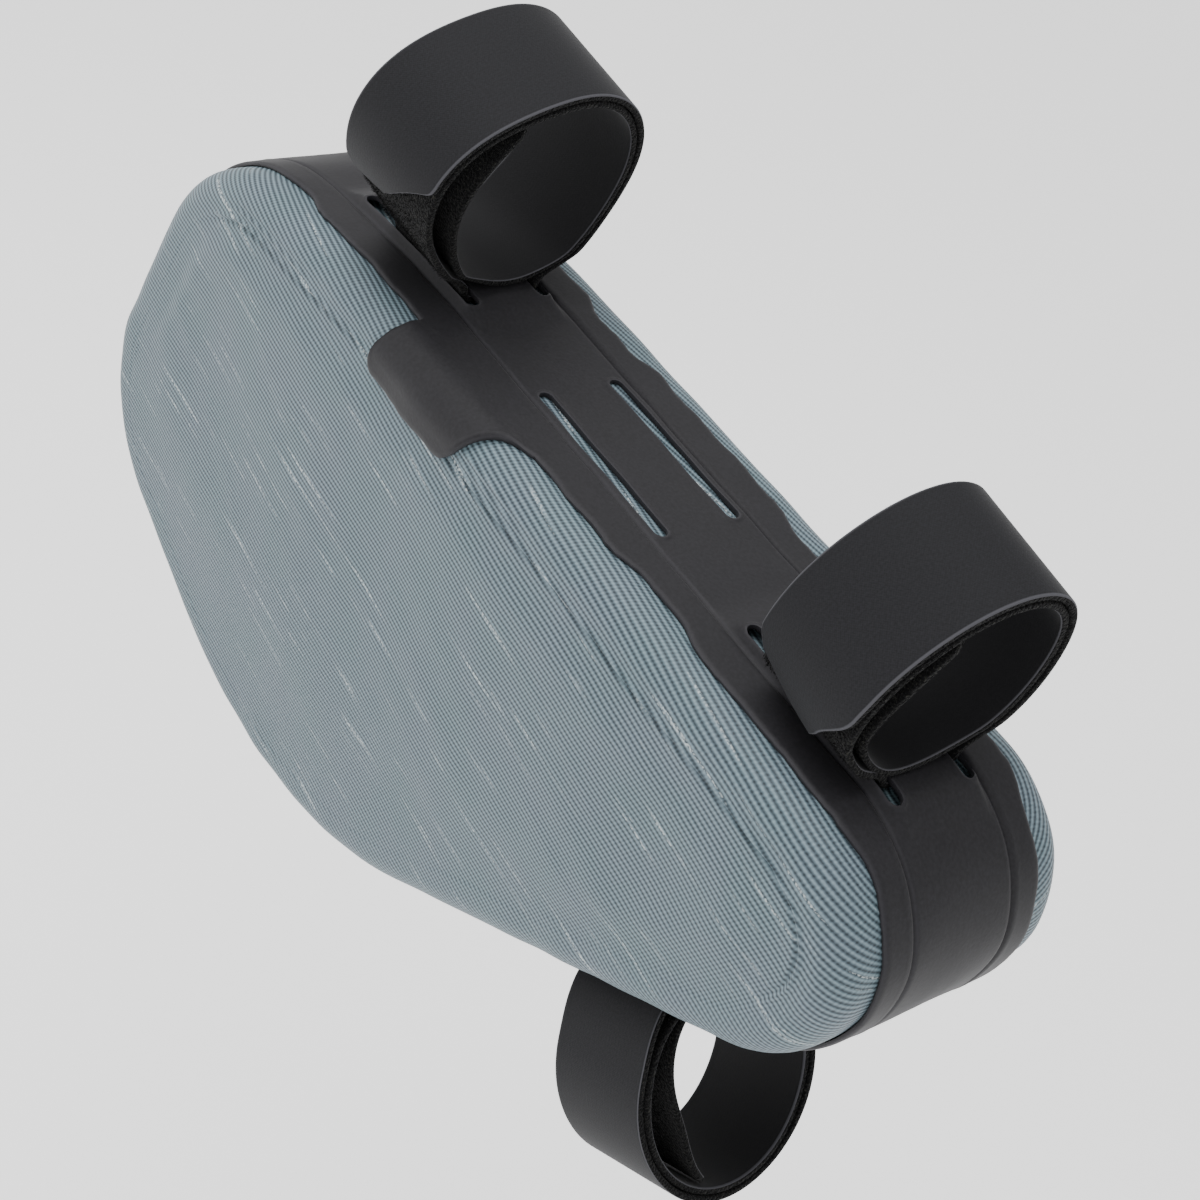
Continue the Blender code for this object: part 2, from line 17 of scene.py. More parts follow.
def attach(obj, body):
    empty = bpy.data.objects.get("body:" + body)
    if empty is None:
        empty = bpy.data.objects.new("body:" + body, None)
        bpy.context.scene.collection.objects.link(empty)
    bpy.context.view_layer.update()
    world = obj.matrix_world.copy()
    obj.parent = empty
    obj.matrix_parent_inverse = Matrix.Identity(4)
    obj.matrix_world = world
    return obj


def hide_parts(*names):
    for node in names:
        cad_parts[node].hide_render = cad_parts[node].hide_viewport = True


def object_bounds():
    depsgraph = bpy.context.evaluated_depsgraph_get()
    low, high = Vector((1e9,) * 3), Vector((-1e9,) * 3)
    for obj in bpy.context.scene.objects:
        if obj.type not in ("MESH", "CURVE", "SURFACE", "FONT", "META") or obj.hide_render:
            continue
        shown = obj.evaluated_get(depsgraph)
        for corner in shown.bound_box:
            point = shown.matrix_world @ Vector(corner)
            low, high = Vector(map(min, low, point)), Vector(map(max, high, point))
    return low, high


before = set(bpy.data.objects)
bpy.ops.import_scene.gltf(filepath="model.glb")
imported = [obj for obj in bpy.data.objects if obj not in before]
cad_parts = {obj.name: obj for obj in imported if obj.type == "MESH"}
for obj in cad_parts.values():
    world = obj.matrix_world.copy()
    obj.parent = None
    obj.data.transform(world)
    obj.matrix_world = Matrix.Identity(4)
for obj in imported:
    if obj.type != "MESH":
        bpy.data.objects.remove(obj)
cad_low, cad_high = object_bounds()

print("nodes:", sorted(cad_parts))

# %% [markdown]
# ## Sizes
# Lengths are in metres and follow the solid model. +X is the front of the bicycle, +Y its left side, +Z is up, and
# the origin lies on the band between the two top straps. One millimetre has its own name, because cloth is
# described in millimetres.

# %% Named sizes
MM = 0.001
bag_length, bag_height, bag_width = 290 * MM, 150 * MM, 62 * MM
cloth_thickness = 1.2 * MM
rim_radius = 7.5 * MM
seat_from_front = 118 * MM
lower_strap_from_front = 58 * MM
fold_inset = 3.0 * MM
band_width, band_thickness, band_swell = 41 * MM, 1.0 * MM, 2.0 * MM
weld_spacing, slot_spacing, slot_width = 26.2 * MM, 19 * MM, 3.2 * MM
strap_width, strap_thickness, strap_pitch = 30 * MM, 1.6 * MM, 75 * MM
slot_clearance, lift_run = 13.5 * MM, 10 * MM
slot_length = strap_width + slot_clearance
loop_radius = 21.5 * MM
clearance = 0.3 * MM
tab_width, tab_drop, tab_centre_behind_seat = 40 * MM, 20 * MM, 36 * MM
zip_slit_length, zip_slit_width, zip_below_seat = 190 * MM, 6 * MM, 40 * MM
print("bag in mm:", [round(size / MM) for size in (bag_length, bag_height, bag_width)])

# %% [markdown]
# ## The side outline
# Seen from the side the bag is a soft polygon. Each corner is cut by an arc, and a table holds the corners as shares
# of the bag's length and height, with the arc's radius as a share of the height. Walking round the polygon gives a
# dense list of points with their outward directions, and reading between them gives any place on the outline.

# %% Trace the outline
# The radii of the first two corners, at the front, are a little smaller than the solid model's. With its radii the
# two arcs would overlap, and a fine grid shows that as a fold.
OUTLINE_CORNERS = np.array([
    # along, up, radius
    (0.506, -0.029, 0.184),
    (0.468, -0.355, 0.282),
    (-0.139, -1.063, 0.770),
    (-0.559, -0.656, 0.283),
    (-0.420, 0.005, 0.342),
    (-0.203, 0.046, 2.670),
])
TRACE_STEP = 0.4 * MM


def unit(vectors):
    """Vectors divided by their own lengths."""
    return vectors / np.linalg.norm(vectors, axis=-1, keepdims=True)


def trace_outline(length, height):
    """Points, outward angles and distances round the outline: straight runs and arcs, joined where they touch."""
    corner = OUTLINE_CORNERS[:, :2] * (length, height)
    radius = OUTLINE_CORNERS[:, 2] * height
    arriving = unit(corner - np.roll(corner, 1, axis=0))
    leaving = np.roll(arriving, -1, axis=0)
    turn = np.arccos(np.clip((arriving * leaving).sum(1), -1, 1))
    cut = (radius * np.tan(turn / 2))[:, None]
    begin, end = np.roll(corner + leaving * cut, 1, axis=0), corner - arriving * cut
    points, angles, distances, walked, facing = [], [], [], 0.0, None
    for side in range(len(corner)):
        run = np.linalg.norm(end[side] - begin[side])
        share = np.linspace(0, 1, max(2, int(run / TRACE_STEP)), endpoint=False)
        ahead = math.atan2(arriving[side, 0], -arriving[side, 1])
        facing = ahead if facing is None else ahead - round((ahead - facing) / math.tau) * math.tau
        points.append(begin[side] + (end[side] - begin[side]) * share[:, None])
        angles.append(np.full(len(share), facing))
        distances.append(walked + run * share)
        walked += run
        arc = radius[side] * turn[side]
        share = np.linspace(0, 1, max(8, int(arc / TRACE_STEP)), endpoint=False)
        swing = facing - turn[side] * share
        middle = end[side] - radius[side] * np.array([math.cos(facing), math.sin(facing)])
        points.append(middle + radius[side] * np.stack([np.cos(swing), np.sin(swing)], axis=1))
        angles.append(swing)
        distances.append(walked + arc * share)
        walked += arc
        facing -= turn[side]
    return np.concatenate(points), np.concatenate(angles), np.concatenate(distances), walked


reach_length, reach_height = bag_length, bag_height
for _ in range(4):
    trace = trace_outline(reach_length, reach_height)[0]
    reach_length *= bag_length / np.ptp(trace[:, 0])
    reach_height *= bag_height / np.ptp(trace[:, 1])
trace, trace_angle, trace_distance, outline_length = trace_outline(reach_length, reach_height)
trace = np.vstack([trace, trace[:1]])
trace_angle = np.append(trace_angle, trace_angle[0] - math.tau)
trace_distance = np.append(trace_distance, outline_length)
print("outline length in mm:", round(outline_length / MM, 1))

# %% [markdown]
# The shared frame starts at the seat, on the band's outer face. The seat is found on the top edge by its distance from
# the front, and the lower strap's place on the bottom edge in the same way.

# %% Places on the outline
top_run = slice(0, int(np.argmax(trace[:, 0])))
bottom_run = slice(int(np.argmax(trace[:, 0])) + 1, int(np.argmin(trace[:, 1])))
front_end = trace[:, 0].max()
seat_place = float(np.interp(front_end - seat_from_front, trace[top_run, 0], trace_distance[top_run]))
lower_place = float(
    np.interp(front_end - lower_strap_from_front, trace[bottom_run, 0][::-1], trace_distance[bottom_run][::-1])
)
seat_angle = np.interp(seat_place, trace_distance, trace_angle)
seat_point = np.array([np.interp(seat_place, trace_distance, trace[:, axis]) for axis in (0, 1)])
seat_outward = np.array([math.cos(seat_angle), math.sin(seat_angle)])
trace = trace - seat_point - seat_outward * (clearance + band_thickness)


def outline_at(distance):
    """x, z and the two parts of the outward direction at distances along the outline."""
    walked = np.mod(distance, outline_length)
    angle = np.interp(walked, trace_distance, trace_angle)
    along = np.interp(walked, trace_distance, trace[:, 0])
    up = np.interp(walked, trace_distance, trace[:, 1])
    return along, up, np.cos(angle), np.sin(angle)


def apart(first, second):
    """Signed distance from second to first, the short way round the outline."""
    return np.mod(first - second + outline_length / 2, outline_length) - outline_length / 2


# %% [markdown]
# ## The skin as a function
# The bag's skin is the outline carried sideways. Its reach is measured over the skin from the middle line: straight
# under the band, then a quarter turn over the rim, then down the flat face. A rise stands off the skin. The same
# function places the panels, the band and the tab, so they can't drift apart.

# %% Skin, ripples and rumples
def skin(distance, reach, rise, side):
    """Grid of points: the outline point moved outward by the rise, then wrapped over the rim by the reach."""
    along, up, out_x, out_z = outline_at(distance)
    straight = bag_width / 2 - rim_radius
    bend = np.clip((reach - straight) / rim_radius, 0, math.pi / 2)
    past = np.maximum(reach - straight - rim_radius * math.pi / 2, 0)
    inset = rim_radius * (1 - np.cos(bend)) + past - rise * np.cos(bend)
    across = np.minimum(reach, straight) + (rim_radius + rise) * np.sin(bend)
    return np.stack(np.broadcast_arrays(along - out_x * inset, side * across, up - out_z * inset), axis=-1)


def ripple(distance, wave, seed):
    """A soft wave round the outline that closes on itself: five sines near one wave length, within about one."""
    draw = np.random.default_rng(seed)
    turns = np.round(outline_length / wave * draw.uniform(0.6, 1.6, 5))
    phases = draw.uniform(0, math.tau, 5)
    return sum(np.sin(math.tau * t * distance / outline_length + p) for t, p in zip(turns, phases)) / 2.5


def rumple(first, second, wave, seed):
    """Soft dents on a plane: eight crossing sines near one wave length, within about one."""
    draw = np.random.default_rng(seed)
    heading = draw.uniform(0, math.pi, 8)
    length = wave * draw.uniform(0.7, 1.5, 8)
    phase = draw.uniform(0, math.tau, 8)
    waves = [
        np.sin(math.tau * (first * math.cos(h) + second * math.sin(h)) / w + p)
        for h, w, p in zip(heading, length, phase)
    ]
    return sum(waves) / 4


def smooth(share):
    """Zero below nothing, one above one, with a soft start and end."""
    share = np.clip(share, 0, 1)
    return share * share * (3 - 2 * share)


print("reach to the end of the rim in mm:", round((bag_width / 2 - rim_radius + rim_radius * math.pi / 2) / MM, 1))

# %% [markdown]
# ## From arrays to a mesh
# A grid of points needs its faces listed: each face joins four neighbours. A closed direction joins its last row to
# its first. The cloth's own directions go into a map called "cloth", in millimetres, so that a pattern can follow the
# surface.

# %% Mesh helpers
def grid_faces(rows, columns, closed_rows=False, closed_columns=False):
    """Four vertex numbers for every cell of a grid."""
    row = np.arange(rows if closed_rows else rows - 1)[:, None]
    column = np.arange(columns if closed_columns else columns - 1)[None, :]
    after_row, after_column = (row + 1) % rows, (column + 1) % columns
    corners = (row * columns + column, after_row * columns + column,
               after_row * columns + after_column, row * columns + after_column)
    return np.stack(np.broadcast_arrays(*corners), axis=-1).reshape(-1, 4)


def add_piece(name, points, faces, finishes, replaces=(), cloth=None, caps=(), face_finish=None,
              sharp=None, marks=None, weld=False):
    """Puts a surface into a mesh object that rides on the bag.

    cloth holds one pair of millimetres for each face corner, caps are rings of vertices that are filled,
    marks are named numbers for each vertex, and weld joins points that lie at one place.
    """
    used, numbers = np.unique(faces, return_inverse=True)
    faces = numbers.reshape(faces.shape)
    remap = np.zeros(len(points), int)
    remap[used] = np.arange(len(used))
    rings = [remap[np.asarray(ring)] for ring in caps]
    points = points[used]
    totals = np.array([faces.shape[1]] * len(faces) + [len(ring) for ring in rings])
    loops = np.concatenate([faces.ravel()] + rings)
    mesh = bpy.data.meshes.new(name)
    mesh.vertices.add(len(points))
    mesh.vertices.foreach_set("co", points.astype(np.float32).ravel())
    mesh.loops.add(len(loops))
    mesh.loops.foreach_set("vertex_index", loops.astype(np.int32))
    mesh.polygons.add(len(totals))
    mesh.polygons.foreach_set("loop_start", (np.cumsum(totals) - totals).astype(np.int32))
    mesh.polygons.foreach_set("loop_total", totals.astype(np.int32))
    mesh.update(calc_edges=True)
    if cloth is not None:
        corners = np.zeros((len(loops), 2), np.float32)
        corners[:len(faces) * faces.shape[1]] = cloth.reshape(-1, 2)
        mesh.uv_layers.new(name="cloth").data.foreach_set("uv", corners.ravel())
    for mark, values in (marks or {}).items():
        layer = mesh.attributes.new(mark, "FLOAT", "POINT")
        layer.data.foreach_set("value", values[used].astype(np.float32))
    for finish in finishes:
        mesh.materials.append(finish)
    if face_finish is not None:
        mesh.polygons.foreach_set("material_index", face_finish.astype(np.int32))
    work = bmesh.new()
    work.from_mesh(mesh)
    if weld:
        bmesh.ops.remove_doubles(work, verts=work.verts, dist=0.02 * MM)
    bmesh.ops.recalc_face_normals(work, faces=work.faces)
    work.to_mesh(mesh)
    work.free()
    mesh.shade_smooth()
    if sharp:
        mesh.set_sharp_from_angle(angle=math.radians(sharp))
    piece = bpy.data.objects.new(name, mesh)
    bpy.context.scene.collection.objects.link(piece)
    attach(piece, "root")
    if replaces:
        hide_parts(*replaces)
    print(name, "vertices:", len(points), "faces:", len(totals))
    return piece


print("a grid of 3 by 3 points has", len(grid_faces(3, 3)), "faces")

# %% [markdown]
# ## Finishes
# Each finish starts from what the real one is and how it was made. Colours are written as a screen shows them, and
# one function turns them to the linear light that the renderer reckons with. One more function adds a node with its
# settings and links: a socket is given a number, a colour, a vector or the output of another node. The kinds of node
# that come back often have short names.

# %% Colour and node helpers
MATHS, MIX, NOISE, RANGE = "ShaderNodeMath", "ShaderNodeMix", "ShaderNodeTexNoise", "ShaderNodeMapRange"
RAMP, MARK, BUMP = "ShaderNodeValToRGB", "ShaderNodeAttribute", "ShaderNodeBump"


def to_linear(colour):
    """A colour written as six hex digits, turned from screen values to linear light."""
    screen = np.array([int(colour[place:place + 2], 16) for place in (1, 3, 5)]) / 255
    linear = np.where(screen <= 0.04045, screen / 12.92, ((screen + 0.055) / 1.055) ** 2.4)
    return (*linear.tolist(), 1.0)


def add_node(tree, kind, sockets=None, out=0, stops=(), **settings):
    """Adds one node with its settings, socket values, links and ramp stops, and gives back one of its outputs."""
    node = tree.nodes.new(kind)
    for key, value in settings.items():
        setattr(node, key, value)
    for key, value in (sockets or {}).items():
        if isinstance(value, bpy.types.NodeSocket):
            tree.links.new(value, node.inputs[key])
        else:
            node.inputs[key].default_value = to_linear(value) if isinstance(value, str) else value
    for index, (place, colour) in enumerate(stops):
        elements = node.color_ramp.elements
        element = elements[index] if index < 2 else elements.new(place)
        element.position, element.color = place, to_linear(colour)
    return node.outputs[out]


def new_finish(name, settings):
    """A material with a Principled shader, whose plain values are set on the shader's own sockets."""
    finish = bpy.data.materials.new(name)
    finish.use_nodes = True
    shader = finish.node_tree.nodes["Principled BSDF"]
    for key, value in settings.items():
        shader.inputs[key].default_value = value
    return finish, finish.node_tree, shader


print("middle grey in linear light:", round(to_linear("#808080")[0], 3))

# %% [markdown]
# ### Ribbed laminate
# The panels are woven nylon with raised ribs, laminated with a clear film. The ribs lie 1.3 mm apart, finer threads
# cross them, the film gives a low even gloss, and creases leave pale streaks of ticks along the ribs. The ribs are a
# cosine of the cloth's own direction. They are too many for geometry, so they are colour and bump; the colour is
# painted shade in the grooves and painted highlight on the rib tops, round the cloth's own mid tone. On the rim the
# crossing threads stand out as a small check, which a mark on the vertices switches on.

# %% Ribbed laminate
# Pitches in millimetres, as the cloth's map counts. The real cross threads are nearer 0.6 mm apart. That is too fine
# to show in the render, so they are drawn coarser.
RIB_PITCH, THREAD_PITCH = 1.3, 0.85
RIB_HEIGHT = 0.2 * MM
THREAD_WAY = (0.93, -0.36, 0.0)  # the direction across the threads, in the cloth's map
SWAY = 7.0  # millimetres between the ribs' furthest wanderings
RIB_SHARE, THREAD_SHARE, GRAIN_SHARE = 0.58, 0.20, 0.24


def ribbed_laminate():
    """Ribs, cross threads and grain add up to one relief, which a bump raises and a ramp colours as painted shade in
    its low places and painted highlight on its high ones, under pale flecks.
    """
    finish, tree, shader = new_finish("ribbed_nylon_laminate", {
        "Roughness": 0.5, "Specular IOR Level": 0.3, "Sheen Weight": 0.05, "Sheen Roughness": 0.4,
    })
    cloth = add_node(tree, "ShaderNodeUVMap", uv_map="cloth")
    sway = add_node(tree, NOISE, {"Vector": cloth, "Scale": 0.012, "Detail": 1.0})
    parts = add_node(tree, "ShaderNodeSeparateXYZ", {"Vector": cloth}).node.outputs
    across = add_node(tree, MATHS, {0: sway, 1: SWAY, 2: parts["Y"]}, operation="MULTIPLY_ADD")
    lean = add_node(tree, "ShaderNodeVectorMath", {0: cloth, 1: THREAD_WAY}, out="Value", operation="DOT_PRODUCT")
    waves = []
    for place, pitch in ((across, RIB_PITCH), (lean, THREAD_PITCH), (parts["X"], RIB_PITCH)):
        turns = add_node(tree, MATHS, {0: place, 1: math.tau / pitch}, operation="MULTIPLY")
        cosine = add_node(tree, MATHS, {0: turns}, operation="COSINE")
        waves.append(add_node(tree, MATHS, {0: cosine, 1: 0.5, 2: 0.5}, operation="MULTIPLY_ADD"))
    ribs, threads, check = waves
    on_rim = add_node(tree, MARK, out="Fac", attribute_name="rim")
    crossing = add_node(tree, MIX, {0: on_rim, 2: threads, 3: check}, data_type="FLOAT")
    grain = add_node(tree, NOISE, {"Vector": cloth, "Scale": 2.2, "Detail": 2.0})
    relief = add_node(tree, MATHS, {0: grain, 1: GRAIN_SHARE}, operation="MULTIPLY")
    for pattern, share in ((crossing, THREAD_SHARE), (ribs, RIB_SHARE)):
        relief = add_node(tree, MATHS, {0: pattern, 1: share, 2: relief}, operation="MULTIPLY_ADD")
    # Painted shade and highlight: the ramp darkens the low places of the relief and pales its high ones, round the
    # cloth's own mid tone.
    colour = add_node(tree, RAMP, {"Fac": relief}, stops=[(0.12, "#283238"), (0.90, "#8B9BA2"), (0.48, "#616F76")])
    tint = add_node(tree, NOISE, {"Vector": cloth, "Scale": 0.05, "Detail": 3.0})
    tint = add_node(tree, RAMP, {"Fac": tint}, stops=[(0.35, "#7A9092"), (0.65, "#8B909A")])
    colour = add_node(tree, MIX, {0: 0.55, 6: colour, 7: tint}, out=2, data_type="RGBA", blend_type="SOFT_LIGHT")
    stretched = add_node(tree, "ShaderNodeMapping", {"Vector": cloth, "Scale": (0.022, 0.42, 1.0)})
    streak = add_node(tree, NOISE, {"Vector": stretched, "Scale": 1.0, "Detail": 2.5})
    streak = add_node(tree, RANGE, {"Value": streak, "From Min": 0.63, "From Max": 0.69})
    ticks = add_node(tree, NOISE, {"Vector": cloth, "Scale": 1.5, "Detail": 1.0})
    ticks = add_node(tree, RANGE, {"Value": ticks, "From Min": 0.42, "From Max": 0.62})
    fleck = add_node(tree, MATHS, {0: streak, 1: ticks}, operation="MULTIPLY")
    fleck = add_node(tree, MATHS, {0: fleck, 1: 0.62}, operation="MULTIPLY")
    colour = add_node(tree, MIX, {0: fleck, 6: colour, 7: "#D3DCDD"}, out=2, data_type="RGBA")
    gloss = add_node(tree, RANGE, {"Value": grain, "To Min": 0.42, "To Max": 0.62})
    bump = add_node(tree, BUMP, {"Height": relief, "Strength": 0.9, "Distance": RIB_HEIGHT})
    tree.links.new(colour, shader.inputs["Base Color"])
    tree.links.new(gloss, shader.inputs["Roughness"])
    tree.links.new(bump, shader.inputs["Normal"])
    return finish


RIBBED_LAMINATE = ribbed_laminate()
print("finish:", RIBBED_LAMINATE.name)

# %% [markdown]
# ### Soft-touch coating
# The band is cloth with a black polyurethane coating, pressed in a mould. It feels like peach skin: a fine grain,
# hardly any gloss and a faint pale bloom at a low angle. Rubbed places near its edges and slots turn a little paler,
# and a thin line beside each weld is painted paler as a highlight; one mark on the vertices tells both.

# %% Soft-touch coating
# The real grain is a few tenths of a millimetre. It is drawn coarser, so that it shows.
COATING_GRAIN, COATING_CLOUD, COATING_HEIGHT = 0.8 * MM, 25 * MM, 0.06 * MM


def soft_touch_coating():
    """A fine grain and wide clouds in two near blacks, paler where it is rubbed and along a painted highlight beside
    each weld.
    """
    finish, tree, shader = new_finish("soft_touch_polyurethane", {
        "Roughness": 0.6, "Specular IOR Level": 0.25, "Sheen Weight": 0.05, "Sheen Roughness": 0.5,
    })
    place = add_node(tree, "ShaderNodeTexCoord", out="Object")
    grain = add_node(tree, NOISE, {"Vector": place, "Scale": 1 / COATING_GRAIN, "Detail": 3.0})
    cloud = add_node(tree, NOISE, {"Vector": place, "Scale": 1 / COATING_CLOUD, "Detail": 3.0})
    wear_and_weld_highlight = add_node(tree, MARK, out="Fac", attribute_name="wear_and_weld_highlight")
    wear_and_weld_highlight = add_node(tree, MATHS, {0: wear_and_weld_highlight, 1: 0.45}, operation="MULTIPLY")
    colour = add_node(tree, RAMP, {"Fac": grain}, stops=[(0.32, "#111013"), (0.70, "#201F23")])
    clouded = add_node(tree, RAMP, {"Fac": cloud}, stops=[(0.3, "#18171A"), (0.7, "#201F23")])
    colour = add_node(tree, MIX, {0: 0.4, 6: colour, 7: clouded}, out=2, data_type="RGBA")
    # The paler mix is real wear at the edges and slots, and painted highlight along the weld.
    colour = add_node(tree, MIX, {0: wear_and_weld_highlight, 6: colour, 7: "#3A393E"}, out=2, data_type="RGBA")
    gloss = add_node(tree, RANGE, {"Value": cloud, "To Min": 0.5, "To Max": 0.7})
    bump = add_node(tree, BUMP, {"Height": grain, "Strength": 0.55, "Distance": COATING_HEIGHT})
    tree.links.new(colour, shader.inputs["Base Color"])
    tree.links.new(gloss, shader.inputs["Roughness"])
    tree.links.new(bump, shader.inputs["Normal"])
    return finish


SOFT_TOUCH = soft_touch_coating()
print("finish:", SOFT_TOUCH.name)

# %% [markdown]
# ### Strap face, strap pile and cut edge
# A strap's outside is brushed knit with a faint cross weave. Its other side is loop pile: a mat of black hooks and
# loops with grey specks. The knife that cut the strap left a thin pale line along both edges of the face. The laps
# inside the loop are painted darker, as shade.

# %% Strap finishes
# The knit's rows and lines in millimetres, as the strap's map counts, are near their real size. The real tufts and
# fibres of the pile are finer than these lengths and are drawn coarser, so that they show.
KNIT_ROW, KNIT_LINE, KNIT_HEIGHT = 0.55, 0.7, 0.08 * MM
TUFT_SIZE, FIBRE_SIZE, PILE_HEIGHT = 0.7 * MM, 0.5 * MM, 0.5 * MM


def strap_face():
    """Two crossing cosines and a fluff noise in two near blacks, with painted shade on the laps inside the loop, and a
    pale cut line.
    """
    finish, tree, shader = new_finish("brushed_nylon_knit", {
        "Roughness": 0.72, "Specular IOR Level": 0.2, "Sheen Weight": 0.07, "Sheen Roughness": 0.45,
    })
    cloth = add_node(tree, "ShaderNodeUVMap", uv_map="cloth")
    parts = add_node(tree, "ShaderNodeSeparateXYZ", {"Vector": cloth}).node.outputs
    waves = []
    for place, pitch in ((parts["X"], KNIT_ROW), (parts["Y"], KNIT_LINE)):
        turns = add_node(tree, MATHS, {0: place, 1: math.tau / pitch}, operation="MULTIPLY")
        waves.append(add_node(tree, MATHS, {0: turns}, operation="COSINE"))
    weave = add_node(tree, MATHS, {0: waves[0], 1: waves[1]}, operation="MULTIPLY")
    fluff = add_node(tree, NOISE, {"Vector": cloth, "Scale": 1.9, "Detail": 3.0})
    relief = add_node(tree, MATHS, {0: weave, 1: 0.12, 2: fluff}, operation="MULTIPLY_ADD")
    colour = add_node(tree, RAMP, {"Fac": relief}, stops=[(0.32, "#0E0E11"), (0.72, "#19191D")])
    # Painted shade: the mark "inner" darkens the laps inside the loop toward near black.
    inner = add_node(tree, MARK, out="Fac", attribute_name="inner")
    inner = add_node(tree, MATHS, {0: inner, 1: 0.6}, operation="MULTIPLY")
    colour = add_node(tree, MIX, {0: inner, 6: colour, 7: "#08080A"}, out=2, data_type="RGBA")
    cut = add_node(tree, MARK, out="Fac", attribute_name="cut")
    cut = add_node(tree, RANGE, {"Value": cut, "From Min": 0.35, "From Max": 0.75})
    cut = add_node(tree, MATHS, {0: cut, 1: 0.8}, operation="MULTIPLY")
    colour = add_node(tree, MIX, {0: cut, 6: colour, 7: "#4E4E53"}, out=2, data_type="RGBA")
    bump = add_node(tree, BUMP, {"Height": relief, "Strength": 0.5, "Distance": KNIT_HEIGHT})
    tree.links.new(colour, shader.inputs["Base Color"])
    tree.links.new(bump, shader.inputs["Normal"])
    return finish


def strap_pile():
    """Fibres minus tufts give the relief, and the fibres' noise alone gives black with grey specks."""
    finish, tree, shader = new_finish("nylon_loop_pile", {
        "Roughness": 0.9, "Specular IOR Level": 0.12, "Sheen Weight": 0.04, "Sheen Roughness": 0.6,
    })
    place = add_node(tree, "ShaderNodeTexCoord", out="Object")
    tufts = add_node(tree, "ShaderNodeTexVoronoi", {"Vector": place, "Scale": 1 / TUFT_SIZE}, out="Distance")
    fuzz = add_node(tree, NOISE, {"Vector": place, "Scale": 1 / FIBRE_SIZE, "Detail": 3.0})
    colour = add_node(tree, RAMP, {"Fac": fuzz}, stops=[(0.40, "#040405"), (0.78, "#34342E"), (0.58, "#0B0B0C")])
    relief = add_node(tree, MATHS, {0: fuzz, 1: tufts}, operation="SUBTRACT")
    bump = add_node(tree, BUMP, {"Height": relief, "Strength": 1.0, "Distance": PILE_HEIGHT})
    tree.links.new(colour, shader.inputs["Base Color"])
    tree.links.new(bump, shader.inputs["Normal"])
    return finish


STRAP_FACE, STRAP_PILE = strap_face(), strap_pile()
print("finishes:", STRAP_FACE.name, STRAP_PILE.name)

# %% [markdown]
# ## The side panels
# Each panel is a tray of cloth: it starts under the band, turns over the rim, meets the face at a welded fold and
# then closes over the face. The face is a set of rings that shrink from the fold to a line along its middle. Sunken
# places, rumples and creases are added to its height. The fold is a thin ridge with a groove beside it, deepest along
# the top and the front, and the rim carries fine puckers. A loft keeps the welded fold exactly where cloth and rim
# meet, which a simulated sheet would smear.

# %% Face relief
FACE_CROWN, CREASE_HEIGHT = 1.6 * MM, 0.35 * MM
SAGS = np.array([
    # side, along, up, reach, depth in millimetres
    (-1, -0.42, -0.42, 0.30, 1.7),
    (-1, -0.12, -0.30, 0.24, 1.3),
    (-1, 0.22, -0.26, 0.20, 1.0),
    (-1, -0.05, -0.72, 0.26, 1.0),
    (1, -0.36, -0.66, 0.26, 1.6),
    (1, 0.02, -0.58, 0.20, 1.2),
])
CREASES = np.array([
    # side, along, up of both ends as shares, share of the height, width in millimetres
    (-1, -0.50, -0.30, -0.30, -0.62, 0.35, 1.6),
    (-1, -0.40, -0.16, -0.16, -0.40, 0.30, 1.5),
    (-1, -0.24, -0.34, 0.04, -0.58, 0.32, 1.7),
    (-1, -0.02, -0.16, 0.22, -0.36, 0.30, 1.6),
    (-1, -0.14, -0.62, 0.14, -0.82, 0.28, 1.6),
    (-1, 0.06, -0.40, 0.28, -0.52, 0.26, 1.5),
    (1, -0.40, -0.62, -0.10, -0.78, 0.34, 1.7),
    (1, -0.20, -0.14, 0.12, -0.20, 0.30, 1.6),
])


def face_height(along, up, share, side):
    """Height over the flat face: a low crown, minus soft sags, plus rumples and thin creases along the ribs."""
    height = FACE_CROWN * smooth(share * 2.2)
    for row in SAGS[SAGS[:, 0] == side]:
        away = np.hypot(along - row[1] * bag_length, up - row[2] * bag_height) / (row[3] * bag_height)
        height = height - row[4] * MM * np.exp(-2.5 * away ** 2) * smooth(share * 4)
    height = height + 0.28 * MM * rumple(along, up, 55 * MM, 5 + side) * smooth(share * 3)
    height = height + 0.10 * MM * rumple(along, up, 16 * MM, 9 + side) * smooth(share * 3)
    for row in CREASES[CREASES[:, 0] == side]:
        begin = row[1:3] * (bag_length, bag_height)
        line = row[3:5] * (bag_length, bag_height) - begin
        run = ((along - begin[0]) * line[0] + (up - begin[1]) * line[1]) / (line @ line)
        wander = 1.1 * MM * np.sin(run * 9.0 + row[1] * 40)
        off = ((up - begin[1]) * line[0] - (along - begin[0]) * line[1]) / np.linalg.norm(line) + wander
        ends = smooth(run * 4) * smooth((1 - run) * 4)
        height = height + CREASE_HEIGHT * row[5] * np.exp(-(off / (row[6] * MM)) ** 2) * ends * smooth(share * 4)
    return height


print("sags:", len(SAGS), "creases:", len(CREASES))

# %% [markdown]
# The rim and the face are rings of one grid. The rings of the rim have a fixed reach over the skin, close together
# beside the fold. The rings of the face have a share of the way from the fold to the line along the middle.

